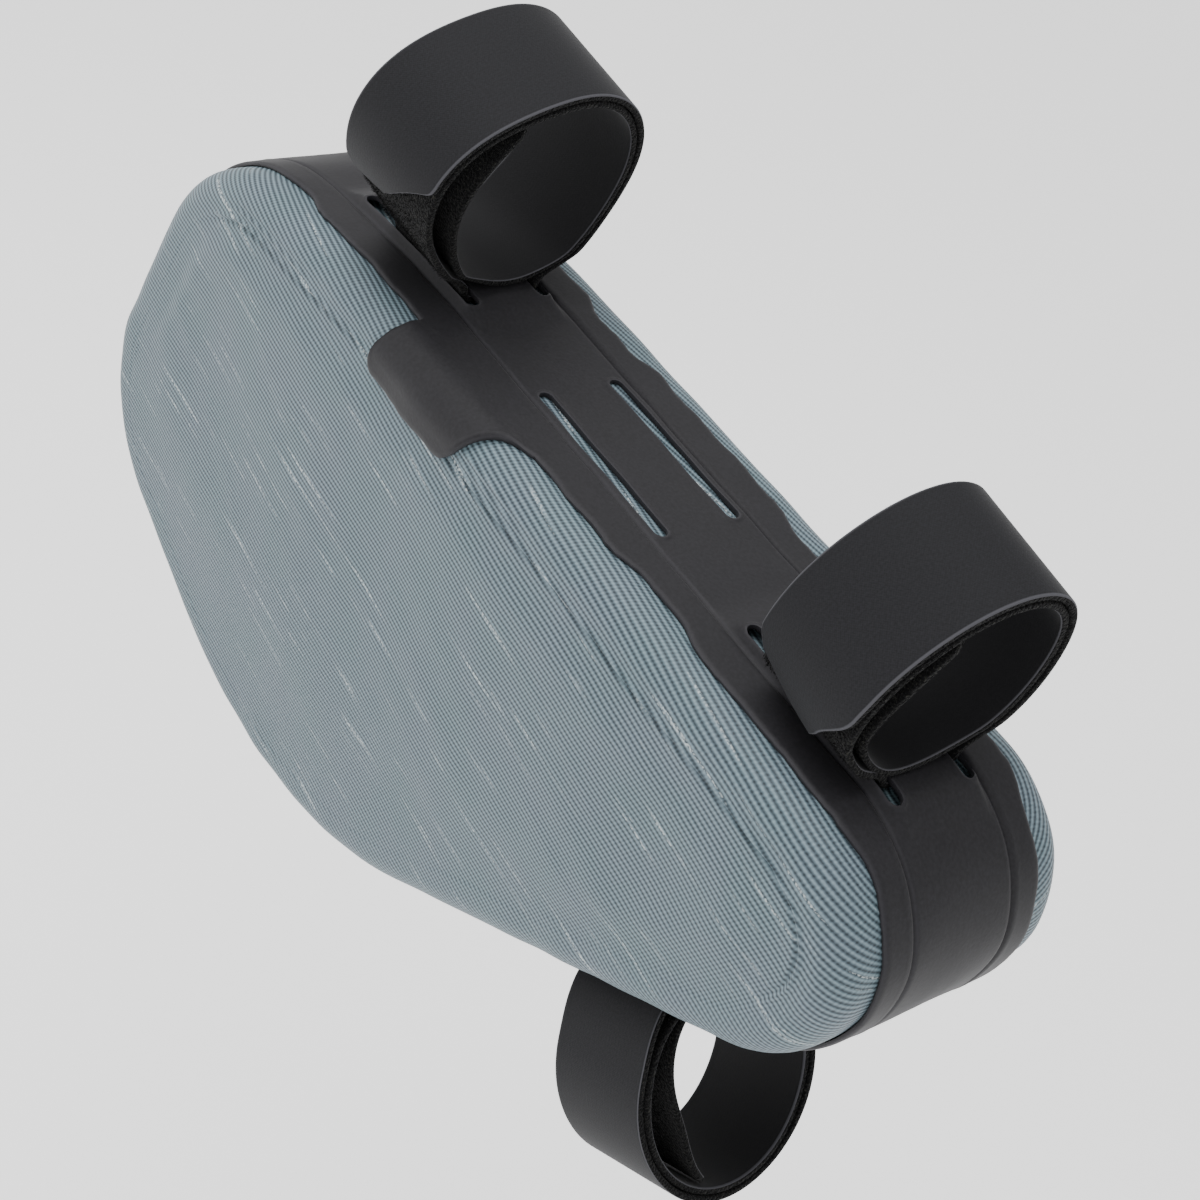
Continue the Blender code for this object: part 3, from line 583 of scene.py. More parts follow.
# %% Rings of a panel and its middle line
RIM_REACHES = np.concatenate([
    np.linspace(0.15, 15.0, 6), np.linspace(17.5, 33.0, 13), np.linspace(33.6, 36.4, 6), np.linspace(36.7, 40.4, 15),
]) * MM
FOLD_REACH = bag_width / 2 - rim_radius + rim_radius * math.pi / 2 + fold_inset
RIM_INSET = RIM_REACHES[-1] - (bag_width / 2 - rim_radius) - rim_radius * math.pi / 2 + rim_radius
FACE_SHARES = np.concatenate([np.linspace(0.0, 0.08, 6), np.linspace(0.10, 1.0, 34)])
RIB_LEAN = math.radians(-11.0)


def zip_line():
    """The two ends of the line along the middle of a face, parallel to the top edge at the seat."""
    _, _, out_x, out_z = outline_at(seat_place)
    outward = np.array([out_x, out_z])
    along = np.array([out_z, -out_x])
    middle = (trace[:, 0].max() + trace[:, 0].min()) / 2
    centre = np.array([middle, 0.0]) - outward * zip_below_seat
    half = (zip_slit_length - zip_slit_width) / 2
    return centre - along * half, centre + along * half


print("rings on the rim:", len(RIM_REACHES), "and on the face:", len(FACE_SHARES) - 1)

# %% [markdown]
# Along the rim the fold is not one clean line: it wanders by half a millimetre, swells and fades, and a second and a
# third crease run beside it for part of the way. It is deepest where the skin faces up and forward.

# %% Relief of the fold
SIDE_CREASES = ((-2.3, 24), (-4.8, 25))  # place beside the fold in millimetres, and the seed of its ripple


def fold_depth_at(distance):
    """Strong where the skin faces up and forward, faint elsewhere, with a slow swell."""
    _, _, out_x, out_z = outline_at(distance)
    facing = np.clip(out_x * 0.6 + out_z * 0.8, 0, 1)
    return (0.08 + 0.92 * facing) * (1 + 0.3 * ripple(distance, 60 * MM, 21))


def fold_relief(distance, reach):
    """Ridge, groove and side creases across the rim, as a rise in metres."""
    depth = fold_depth_at(distance)
    wander = 0.5 * MM * ripple(distance, 60 * MM, 22) + 0.10 * MM * ripple(distance, 19 * MM, 23)
    off = (reach - FOLD_REACH - wander) / MM
    relief = 0.55 * np.exp(-(off / 0.55) ** 2) - 0.75 * np.exp(-((off - 1.0) / 0.6) ** 2)
    for place, seed in SIDE_CREASES:
        strength = np.clip(ripple(distance, 110 * MM, seed), 0, 1)
        relief = relief + 0.30 * strength * np.exp(-((off - place) / 0.5) ** 2)
        relief = relief - 0.30 * strength * np.exp(-((off - place + 0.9) / 0.5) ** 2)
    return relief * depth * MM


print("fold reach in mm:", round(FOLD_REACH / MM, 1))

# %% [markdown]
# Every station on the outline has a partner across the middle line, above and below, so that both sides meet the line
# at the same points and can be welded there. The stations between, at the front and at the rear, meet its two ends.

# %% Paired stations
RUN_STATIONS, FRONT_STATIONS, REAR_STATIONS = 210, 90, 76
OUTLINE_SAMPLES = 6000


def share_of_line(distance):
    """How far along the middle line each place of the fold lies, from nothing at its rear end to one at its front."""
    rear, front = zip_line()
    line = front - rear
    fold = skin(distance, RIM_REACHES[-1], 0.0, 1)[..., ::2]
    return ((fold - rear) @ line) / (line @ line)


def paired_stations():
    """Places round the outline, read off a fine walk where its share of the middle line takes even steps."""
    fine = np.linspace(0, outline_length, OUTLINE_SAMPLES)
    share = share_of_line(fine)
    foremost = int(np.argmax(share))
    rearmost = int(np.argmin(share))
    steps = np.linspace(0, 1, RUN_STATIONS)
    above = np.concatenate([np.arange(rearmost, OUTLINE_SAMPLES), np.arange(foremost)])
    over = np.where(above >= rearmost, fine[above] - outline_length, fine[above])
    top = np.interp(steps, share[above], over)
    below = np.arange(foremost, rearmost)
    bottom = np.interp(steps, share[below][::-1], fine[below][::-1])
    front = np.linspace(top[-1], bottom[-1], FRONT_STATIONS + 2)[1:-1]
    rear = np.linspace(bottom[0], top[0] + outline_length, REAR_STATIONS + 2)[1:-1]
    return np.concatenate([top, front, bottom[::-1], rear])[:, None]


print("stations round a panel:", len(paired_stations()))

# %% [markdown]
# The cloth's own map is the side view of the panel, with the rim unrolled past the fold, turned by the lean of the
# ribs. One map over rim and face keeps the ribs whole across the fold. Solidify gives the cloth its wall.

# %% Build the panels
# The rim's mark fades out at the fold. It grows from nothing in the middle of the bag to its full share at the front.
RIM_MARK_FADE, FRONT_MARK, FRONT_MARK_FROM, FRONT_MARK_RUN = 1.5 * MM, 0.55, 20 * MM, 70 * MM


def make_panel(name, side, closed):
    """Rim rings and face rings as one grid, from the middle line under the band to the middle line of the face."""
    distance = paired_stations()
    stations = len(distance)
    reach = np.broadcast_to(RIM_REACHES, (stations, len(RIM_REACHES)))
    open_rim = smooth((reach - 22 * MM) / (4 * MM))
    rise = fold_relief(distance, reach) + 0.09 * MM * ripple(distance, 24 * MM, 31 + side) * open_rim
    rim = skin(distance, reach, rise, side)
    rear, front = zip_line()
    half_slit = 0.0 if closed else zip_slit_width / 2
    foot = rear + (front - rear) * np.clip(share_of_line(distance), 0, 1)
    flat = rim[:, -1, ::2]
    foot = foot + unit(flat - foot) * half_slit
    shares = FACE_SHARES[1:]
    rings = flat[:, None] + (foot - flat)[:, None] * shares[None, :, None]
    height = bag_width / 2 + face_height(rings[..., 0], rings[..., 1], shares[None, :], side)
    face = np.stack([rings[..., 0], side * height, rings[..., 1]], axis=-1)
    points = np.concatenate([rim, face], axis=1)
    columns = points.shape[1]
    faces = grid_faces(stations, columns, closed_rows=True)
    along, up, out_x, out_z = outline_at(distance)
    unrolled = RIM_INSET - (RIM_REACHES[-1] - reach)
    sheet = np.stack([along - out_x * unrolled, up - out_z * unrolled], axis=-1)
    sheet = np.concatenate([sheet, rings], axis=1)
    cloth = np.stack([
        sheet[..., 0] * math.cos(RIB_LEAN) + sheet[..., 1] * math.sin(RIB_LEAN),
        sheet[..., 1] * math.cos(RIB_LEAN) - sheet[..., 0] * math.sin(RIB_LEAN),
    ], axis=-1).reshape(-1, 2) / MM
    walked = np.concatenate([reach, reach[:, -1:] + shares * 30 * MM], axis=1)
    rim_mark = np.broadcast_to(smooth((FOLD_REACH - walked) / RIM_MARK_FADE), walked.shape)
    front_mark = FRONT_MARK * smooth((points[..., 0] - FRONT_MARK_FROM) / FRONT_MARK_RUN) * rim_mark
    piece = add_piece(name, points.reshape(-1, 3), faces, [RIBBED_LAMINATE],
                      (name.replace("_cloth", ""),), cloth[faces], marks={"rim": front_mark.reshape(-1)}, weld=closed)
    wall = piece.modifiers.new("wall", "SOLIDIFY")
    wall.thickness = cloth_thickness
    wall.offset = -1
    return piece


make_panel("right_side_panel_cloth", -1, True)
make_panel("left_side_panel_cloth", 1, False)

# %% [markdown]
# ## The edge band
# The band is one sheet that goes round the bag. Its grid has rows along the outline and columns across it. Where a
# strap runs underneath, the strip between the slots is lifted. Two welds press shallow grooves. The slots are cells
# that are left out, with their ends rounded by moving the rows beside them, and every open edge is joined to the
# underside, so the sheet has a real thickness. The tab is the same sheet carried on over the rim.

# %% Strap places and the band's shape
StrapPlace = namedtuple("StrapPlace", "name slot slide lift")
SLIDES = (("top_strap_rear", seat_place - strap_pitch, 0.61), ("top_strap_front", seat_place + strap_pitch, 0.59),
          ("lower_strap", lower_place, 0.0))


def strap_lift(place):
    """Room that a straight strap needs over the curved skin: its thickness, a gap and the drop at its ends."""
    along, up, out_x, out_z = outline_at(place)
    end_along, end_up, _, _ = outline_at(place + np.array([-1, 1]) * strap_width / 2)
    drop = max(0.0, float(((along - end_along) * out_x + (up - end_up) * out_z).max()))
    return strap_thickness + clearance + drop


STRAPS = [
    StrapPlace(name, slot, slot + slide * slot_clearance / 2, strap_lift(slot + slide * slot_clearance / 2))
    for name, slot, slide in SLIDES
]
SLOT_PLACES = [(row.slot, row.lift) for row in STRAPS] + [(seat_place, 0.0)]


def over_slots(distance, place):
    """One along a slot pair, falling softly to nothing over the run beyond its ends."""
    return smooth(1 - (np.abs(apart(distance, place)) - slot_length / 2) / lift_run)


def band_lift(distance):
    """How far the strip between the slots is raised: the highest of the lifts of the slot pairs."""
    return np.max([lift * over_slots(distance, place) for place, lift in SLOT_PLACES], axis=0)


def band_edge(distance):
    """Half width: wider beside each slot pair, with the small unevenness of a hand-laid edge."""
    swell = np.max([over_slots(distance, place) for place, _ in SLOT_PLACES], axis=0)
    uneven = 0.22 * MM * ripple(distance, 22 * MM, 41) + 0.08 * MM * ripple(distance, 5 * MM, 42)
    return band_width / 2 + band_swell * swell + uneven


TAB_EDGE = np.array([
    # along, reach
    (0.10, 0.0), (0.115, 0.50), (0.14, 0.78), (0.20, 0.95), (0.30, 1.0), (0.60, 1.0), (0.69, 0.97),
    (0.77, 0.91), (0.84, 0.81), (0.90, 0.67), (0.97, 0.44), (1.05, 0.22), (1.15, 0.08), (1.25, 0.0),
])


def tab_reach(distance):
    """Length of the tab below the band's edge: the table's steps, softened over one and a half millimetres."""
    share = apart(distance, seat_place - tab_centre_behind_seat) / tab_width + 0.5
    steps = np.linspace(-1, 1, 9) * 0.8 * MM / tab_width
    reaches = [np.interp(share + step, TAB_EDGE[:, 0], TAB_EDGE[:, 1], left=0, right=0) for step in steps]
    return tab_drop * np.mean(reaches, axis=0)


print("lifts in mm:", [round(row.lift / MM, 2) for row in STRAPS])

# %% [markdown]
# The columns lie close together where something happens: beside the slots, on the weld and at the open edge. Rows lie
# close together at the slot ends and along the tab, and one row lies exactly at each slot end.

# %% Rows and columns of the band
BAND_HALF = np.array([0, 2.0, 4.0, 5.8, 6.8, 7.4, 7.9, 8.2, 8.8, 9.5, 10.2, 10.8, 11.1,
                      11.6, 12.1, 12.6, 12.9, 13.2, 13.5, 14.0, 15.0]) * MM
SLOT_COLUMNS = (6, 12)
EDGE_SHARES = np.array([0.18, 0.36, 0.54, 0.70, 0.83, 0.92, 0.97, 1.0])
TAB_SHARES = np.concatenate([np.linspace(0.07, 0.90, 13), [0.95, 0.98, 1.0]])
BASE_ROW, SLOT_END_ROW, TAB_ROW_SHARE = 1.8 * MM, 0.45 * MM, 0.016


def band_rows():
    """Distances along the outline: even base rows, and closer ones beside the slot ends and the tab."""
    ends = np.array([place + side * slot_length / 2 for place, _ in SLOT_PLACES for side in (-1, 1)])
    fixed = np.concatenate([ends[:, None] + np.arange(-6, 7) * SLOT_END_ROW]).ravel()
    tab_middle = seat_place - tab_centre_behind_seat
    fixed = np.concatenate([fixed, tab_middle + np.arange(-0.56, 0.80, TAB_ROW_SHARE) * tab_width])
    fixed = np.unique(np.round(np.mod(fixed, outline_length), 6))
    keep = np.concatenate([[True], np.diff(fixed) > 0.12 * MM])
    at_end = np.min(np.abs(apart(fixed[:, None], ends[None])), axis=1) < 0.02 * MM
    fixed = fixed[keep | at_end]
    base = np.arange(0, outline_length, BASE_ROW)
    gap = np.min(np.abs(apart(base[:, None], fixed[None])), axis=1)
    return np.sort(np.concatenate([base[gap > 0.5 * MM], fixed]))


print("rows of the band:", len(band_rows()))

# %% [markdown]
# One half of the band is worked out at a time. A round slot end is made by moving the points beside it along the
# outline. Then come the rises: the lift over a strap, the pressed weld with its low shoulders, a raised lip round each
# slot, soft rumples, a thin hem at the open edge and a slightly thicker tab with a raised border.

# %% Shape of one half
SLOT_BULGE, SLOT_BULGE_RUN = slot_width / 2, 4 * MM
TAB_FLARE = 7.0 * MM
LIFT_EDGE, LIFT_FADE = 12.6 * MM, 2.2 * MM
HEM_RUN, HEM_THIN = 0.9 * MM, 0.45 * MM
SLOT_LIP = 0.28 * MM


def slot_gap(distance, reach):
    """Distance outside the nearest slot's outline: a straight slot with half-round ends."""
    gaps = []
    for place, _ in SLOT_PLACES:
        beyond = np.maximum(np.abs(apart(distance, place)) - slot_length / 2, 0)
        gaps.append(np.hypot(beyond, reach - slot_spacing / 2) - slot_width / 2)
    return np.min(gaps, axis=0)


def band_half(distance, side):
    """Columns of one half: distance along, reach across and rise of the outer face, and the wear near open edges with a
    painted highlight beside the weld.
    """
    edge = band_edge(distance)
    inner = np.broadcast_to(BAND_HALF, (len(distance), len(BAND_HALF)))
    outer = inner[:, -1:] + (edge - inner[:, -1:]) * EDGE_SHARES
    reach = np.concatenate([inner, outer], axis=1)
    tab = tab_reach(distance) if side < 0 else np.zeros_like(distance)
    if side < 0:
        reach = np.concatenate([reach, edge + tab * TAB_SHARES], axis=1)
    walked = np.broadcast_to(distance, reach.shape).copy()
    along_tab = apart(walked, seat_place - tab_centre_behind_seat) / tab_width + 0.5
    walked -= TAB_FLARE * smooth((reach - edge) / tab_drop) * np.clip(1 - along_tab / 0.6, 0, 1)
    for place, _ in SLOT_PLACES:
        past = apart(walked, place)
        beyond = np.abs(past) - slot_length / 2
        lean = (reach - slot_spacing / 2) / (slot_width / 2)
        bulge = SLOT_BULGE * np.sqrt(np.clip(1 - lean ** 2, 0, 1)) * (beyond > -1e-6)
        walked = walked + np.sign(past) * bulge * np.clip(1 - beyond / SLOT_BULGE_RUN, 0, 1)
    lifted = smooth((LIFT_EDGE - reach) / LIFT_FADE)
    lift = band_lift(walked) * lifted
    weld = (reach - weld_spacing / 2) / MM
    groove, shoulder = np.exp(-(weld / 0.42) ** 2), np.exp(-((weld - 0.9) / 0.5) ** 2)
    rise = band_thickness + lift - 0.5 * MM * groove + 0.10 * MM * shoulder
    gap = slot_gap(walked, reach) / MM
    rise = rise + SLOT_LIP * np.exp(-((gap - 0.45) / 0.5) ** 2) * (gap > -0.2)
    rise = rise + 0.12 * MM * rumple(walked, reach * side, 17 * MM, 51) * smooth(reach / (2 * MM))
    open_edge = edge + tab
    hem = np.clip(1 - (open_edge - reach) / HEM_RUN, 0, 1)
    rise = rise - HEM_THIN * hem ** 2
    on_tab = smooth((reach - edge) / (3 * MM)) if side < 0 else 0.0
    border = np.exp(-(((open_edge - reach) / MM - 1.5) / 0.6) ** 2)
    rise = rise + on_tab * (0.5 * MM + 0.14 * MM * border)
    wear_and_weld_highlight = np.clip(np.exp(-(gap / 0.35) ** 2) + 0.8 * hem, 0, 1)
    # Painted highlight: a thin paler line just inside the weld groove, not wear.
    wear_and_weld_highlight = wear_and_weld_highlight + 0.6 * np.exp(-((weld + 0.55) / 0.25) ** 2)
    return walked, reach, rise, lift, wear_and_weld_highlight, tab


print("slots in mm:", round((slot_length + slot_width) / MM, 1), "by", round(slot_width / MM, 1))

# %% [markdown]
# The outer face and the underside are the same grid at two rises. Cells in a slot and beside the tab are left out of
# both. Where a kept cell has no kept neighbour, its edge is joined to the same edge of the underside as a wall.

# %% Build the band
TAB_LEAST = 0.05 * MM


def make_band():
    """Both halves side by side, outer face and underside, with walls along every open edge."""
    distance = band_rows()[:, None]
    right, left = band_half(distance, -1), band_half(distance, 1)
    join = [np.concatenate([r[:, ::-1], l[:, 1:]], axis=1) for r, l in zip(right[:5], left[:5])]
    walked, reach, rise, lift, wear_and_weld_highlight = join
    side = np.concatenate([np.full(right[1].shape[1], -1.0), np.full(left[1].shape[1] - 1, 1.0)])
    outer = skin(walked, reach, rise + clearance, side)
    under = skin(walked, reach, np.minimum(lift + clearance, rise + clearance - 0.2 * MM), side)
    rows, columns = reach.shape
    right_count = right[1].shape[1]
    numbers = np.arange(columns - 1)
    half_column = np.where(numbers < right_count - 1, right_count - 2 - numbers, numbers - right_count + 1)
    in_slot = (half_column >= SLOT_COLUMNS[0]) & (half_column < SLOT_COLUMNS[1])
    start = distance[:, 0]
    middle = start + apart(np.roll(start, -1), start) / 2
    along_slot = np.any([np.abs(apart(middle, place)) < slot_length / 2 for place, _ in SLOT_PLACES], axis=0)
    tab_here = (right[5][:, 0] > TAB_LEAST) & (np.roll(right[5][:, 0], -1) > TAB_LEAST)
    in_tab = numbers < len(TAB_SHARES)
    keep = ~(along_slot[:, None] & in_slot[None]) & (~in_tab[None] | tab_here[:, None])
    top = grid_faces(rows, columns, closed_rows=True).reshape(rows, columns - 1, 4)
    count = rows * columns
    faces = [top[keep], top[keep][:, ::-1] + count]
    before, after = np.roll(keep, 1, axis=0), np.roll(keep, -1, axis=0)
    blank = np.zeros((rows, 1), bool)
    lower = np.concatenate([blank, keep[:, :-1]], axis=1)
    upper = np.concatenate([keep[:, 1:], blank], axis=1)
    for neighbour, first, second in ((before, 0, 3), (after, 1, 2), (lower, 0, 1), (upper, 3, 2)):
        edge = top[keep & ~neighbour][:, [first, second]]
        faces.append(np.stack([edge[:, 0], edge[:, 1], edge[:, 1] + count, edge[:, 0] + count], axis=1))
    points = np.concatenate([outer.reshape(-1, 3), under.reshape(-1, 3)])
    marks = {"wear_and_weld_highlight": np.concatenate([wear_and_weld_highlight.ravel(), wear_and_weld_highlight.ravel() * 0])}
    return add_piece("edge_band_sheet", points, np.concatenate(faces), [SOFT_TOUCH],
                     ("edge_band",), sharp=48, marks=marks)


make_band()

# %% [markdown]
# ## The straps
# Each strap is a flat ribbon wound into a loop: one and a quarter laps, down through a slot, under the band, up
# through the other slot, and one last lap outside the others. The path is drawn in the plane across the strap, as an
# ellipse that grows by one thickness for each turn. The whole loop then turns a little as it rises from the band. A
# rounded profile carried along the path gives the ribbon.

# %% Strap forms
# long and short are the ellipse's half axes and swell and shift are lengths, all as shares of the loop's radius.
# lean, swell_at, yaw, pitch, start and finish are angles in degrees.
Form = namedtuple("Form", "long short lean swell swell_at shift yaw pitch start finish")
FORMS = {
    "top_strap_rear": Form(1.14, 1.05, 118.0, 0.08, 47.0, -0.12, 4.0, 11.0, 112.0, 200.0),
    "top_strap_front": Form(0.96, 0.635, 52.0, 0.033, 77.0, 0.05, -8.5, 0.0, 118.0, 222.0),
    "lower_strap": Form(1.05, 0.94, 108.0, 0.0, 0.0, -0.08, 0.0, 0.0, 112.0, 238.0),
}
# slant is how much the cut leans, shorter_side is its shorter side, run and width are the cut of one corner, and
# stand_in is how far the first lap stands in from the second.
EndShape = namedtuple("EndShape", "slant shorter_side run width stand_in")
END_SHAPES = {
    "top_strap_rear": EndShape(0.30, 1, 10.5 * MM, 14 * MM, 6.5 * MM),
    "top_strap_front": EndShape(0.28, -1, 15.0 * MM, 11 * MM, 2.5 * MM),
    "lower_strap": EndShape(0.0, 1, 3.0 * MM, 3 * MM, 6.5 * MM),
}
STAND_IN_ARC = math.radians(140)
STAND_OUT, STAND_OUT_FROM, STAND_OUT_ARC = 2.0 * MM, math.radians(200), math.radians(35)
TURN_BEGIN, TURN_END = 4 * MM, 14 * MM
LEAVE_ANGLE, SLOT_EXIT = math.radians(36), math.radians(50)
SLOT_BEND = 1.6 * MM
PATH_STEP = 1.1 * MM


def loop_offset(form, angle, grown):
    """A leaning ellipse with three soft bulges, grown outward, from the loop's middle."""
    lean = math.radians(form.lean)
    grown = grown + form.swell * loop_radius * np.cos(3 * (angle - math.radians(form.swell_at)))
    wide = (form.long * loop_radius + grown) * np.cos(angle - lean)
    narrow = (form.short * loop_radius + grown) * np.sin(angle - lean)
    along = wide * math.cos(lean) - narrow * math.sin(lean)
    up = wide * math.sin(lean) + narrow * math.cos(lean)
    return np.stack([along, up], -1)


def lap_growth(form, angle):
    """One thickness and one gap more for each turn."""
    return strap_thickness / 2 + (strap_thickness + clearance) * (angle - math.radians(form.start)) / math.tau


def bridge_curve(first, first_way, second, second_way):
    """Points of a smooth curve between two points with known directions."""
    t = np.linspace(0, 1, 16)[1:-1, None]
    pull = np.linalg.norm(second - first)
    return (first * (2 * t**3 - 3 * t**2 + 1) + first_way * pull * (t**3 - 2 * t**2 + t)
            + second * (3 * t**2 - 2 * t**3) + second_way * pull * (t**3 - t**2))


print("loop radius in mm:", round(loop_radius / MM, 1))

# %% [markdown]
# The path is put together from five stretches: the inner laps, a curve down to the first slot, the way through both
# slots under the band, a curve up again, and the outer lap. It is then walked in even steps and softened a little.

# %% Strap paths
FINE_TURN = math.radians(2)


def strap_path(row):
    """Even points along the strap in its own plane, and the length at which it passes under the band.

    The first lap stands in a little from the second, and the last lap stands out where the strap leaves for the slot.
    """
    form = FORMS[row.name]
    top = clearance + row.lift + band_thickness
    lowest = loop_offset(form, np.linspace(0, math.tau, 73), 0.0)[:, 1].min()
    rise = top + clearance + strap_thickness / 2 + lap_growth(form, math.radians(270)) - lowest
    centre = np.array([form.shift * loop_radius, rise])
    first = np.arange(math.radians(form.start), 3 * math.pi + LEAVE_ANGLE, FINE_TURN)
    last = np.arange(4 * math.pi - LEAVE_ANGLE, 4 * math.pi + math.radians(form.finish), FINE_TURN)
    hump = np.sin(math.pi * np.clip((first - first[0]) / STAND_IN_ARC, 0, 1) ** 0.7) ** 2
    inside = centre + loop_offset(form, first, lap_growth(form, first) - END_SHAPES[row.name].stand_in * hump)
    stand_out = STAND_OUT * smooth((last - 4 * math.pi - STAND_OUT_FROM) / STAND_OUT_ARC)
    outside = centre + loop_offset(form, last, lap_growth(form, last) + stand_out)
    bend, slot, under = SLOT_BEND, slot_spacing / 2, clearance + strap_thickness / 2
    quarter = np.linspace(0, math.pi / 2, 8)
    lip = np.linspace(0, SLOT_EXIT, 6)
    rising = np.concatenate([
        np.array([[0.0, under], [slot * 0.5, under]]),
        np.stack([slot - bend + bend * np.sin(quarter), under + bend - bend * np.cos(quarter)], -1),
        np.stack([slot + bend - bend * np.cos(lip), top + bend * np.sin(lip)], -1),
    ])
    falling = rising[:0:-1] * (-1, 1)
    path = np.concatenate([
        inside,
        bridge_curve(inside[-1], unit(inside[-1] - inside[-2]), falling[0], unit(falling[1] - falling[0])),
        falling, rising,
        bridge_curve(rising[-1], unit(rising[-1] - rising[-2]), outside[0], unit(outside[1] - outside[0])),
        outside,
    ])
    length = np.concatenate([[0], np.cumsum(np.linalg.norm(np.diff(path, axis=0), axis=1))])
    under_at = length[np.argmin(np.hypot(path[:, 0], path[:, 1] - under))]
    even = np.linspace(0, length[-1], int(length[-1] / PATH_STEP))
    path = np.stack([np.interp(even, length, path[:, axis]) for axis in (0, 1)], -1)
    kernel = np.array([0.25, 0.5, 0.25])
    softened = np.stack([np.convolve(path[:, axis], kernel, "same") for axis in (0, 1)], -1)
    path[1:-1] = softened[1:-1]
    return path, even, under_at


def strap_to_bag(row, along, across, height):
    """Strap coordinates placed on the bag: the loop yaws and pitches softly as it rises."""
    form = FORMS[row.name]
    share = smooth((height - TURN_BEGIN) / (TURN_END - TURN_BEGIN))
    yaw, pitch = math.radians(form.yaw) * share, math.radians(form.pitch) * share
    forward = along * np.cos(yaw) - across * np.sin(yaw)
    sideways = along * np.sin(yaw) + across * np.cos(yaw)
    above = height - TURN_BEGIN
    up = TURN_BEGIN + above * np.cos(pitch) - forward * np.sin(pitch)
    forward = forward * np.cos(pitch) + above * np.sin(pitch)
    x, z, out_x, out_z = outline_at(row.slide)
    return np.stack([x + out_z * forward + out_x * up, sideways, z - out_x * forward + out_z * up], -1)


print("strap lengths in mm:", [round(strap_path(row)[1][-1] / MM) for row in STRAPS])

# %% [markdown]
# The ribbon's two ends are cut off slantwise. The cut takes more from the front corner than from the rear one. The
# face keeps a pale knife line at both edges, and a mark on the vertices says how near the edge they are.

# %% Profile and cut of a strap
ACROSS = np.array([-0.99, -0.975, -0.94, -0.86, -0.7, -0.5, -0.25, 0, 0.25, 0.5, 0.7, 0.86, 0.94, 0.975, 0.99])
END_CUT = np.array([
    # share of the cut's run from the end, share of its width
    (0.0, 1.0), (0.12, 0.84), (0.85, 0.12), (1.0, 0.03), (1.3, 0.0),
])
Corner = namedtuple("Corner", "run width")
REAR_CORNER, INNER_CORNER = Corner(2.5 * MM, 2.5 * MM), Corner(3 * MM, 2 * MM)
SLANT_RUN = 25 * MM


def end_cut(from_end, corner):
    """Width that the slanting cut takes away at a distance from the end."""
    return corner.width * np.interp(from_end / corner.run, END_CUT[:, 0], END_CUT[:, 1], right=0.0)


def strap_profile():
    """A closed rounded section: share of the half width and share of the thickness, outside first."""
    edge = np.array([(1.0, -0.3), (1.0, 0.0), (1.0, 0.3)])
    outside = np.stack([ACROSS, np.full(len(ACROSS), -0.5)], -1)
    outside[[0, -1], 1] = -0.42
    inside = outside[::-1] * (1, -1)
    return np.concatenate([outside, edge, inside, edge[::-1] * (-1, 1)])


print("points round a strap's profile:", len(strap_profile()))

# %% [markdown]
# The profile is carried along the path, square to it. Near the outer end each point reads the path a little further
# back, which slants the cut. The side that lies outward before the slots lies inward after them, so face and pile
# change places there.

# %% Build the straps
WOBBLE, WOBBLE_RUN = 0.16 * MM, 7.3 * MM


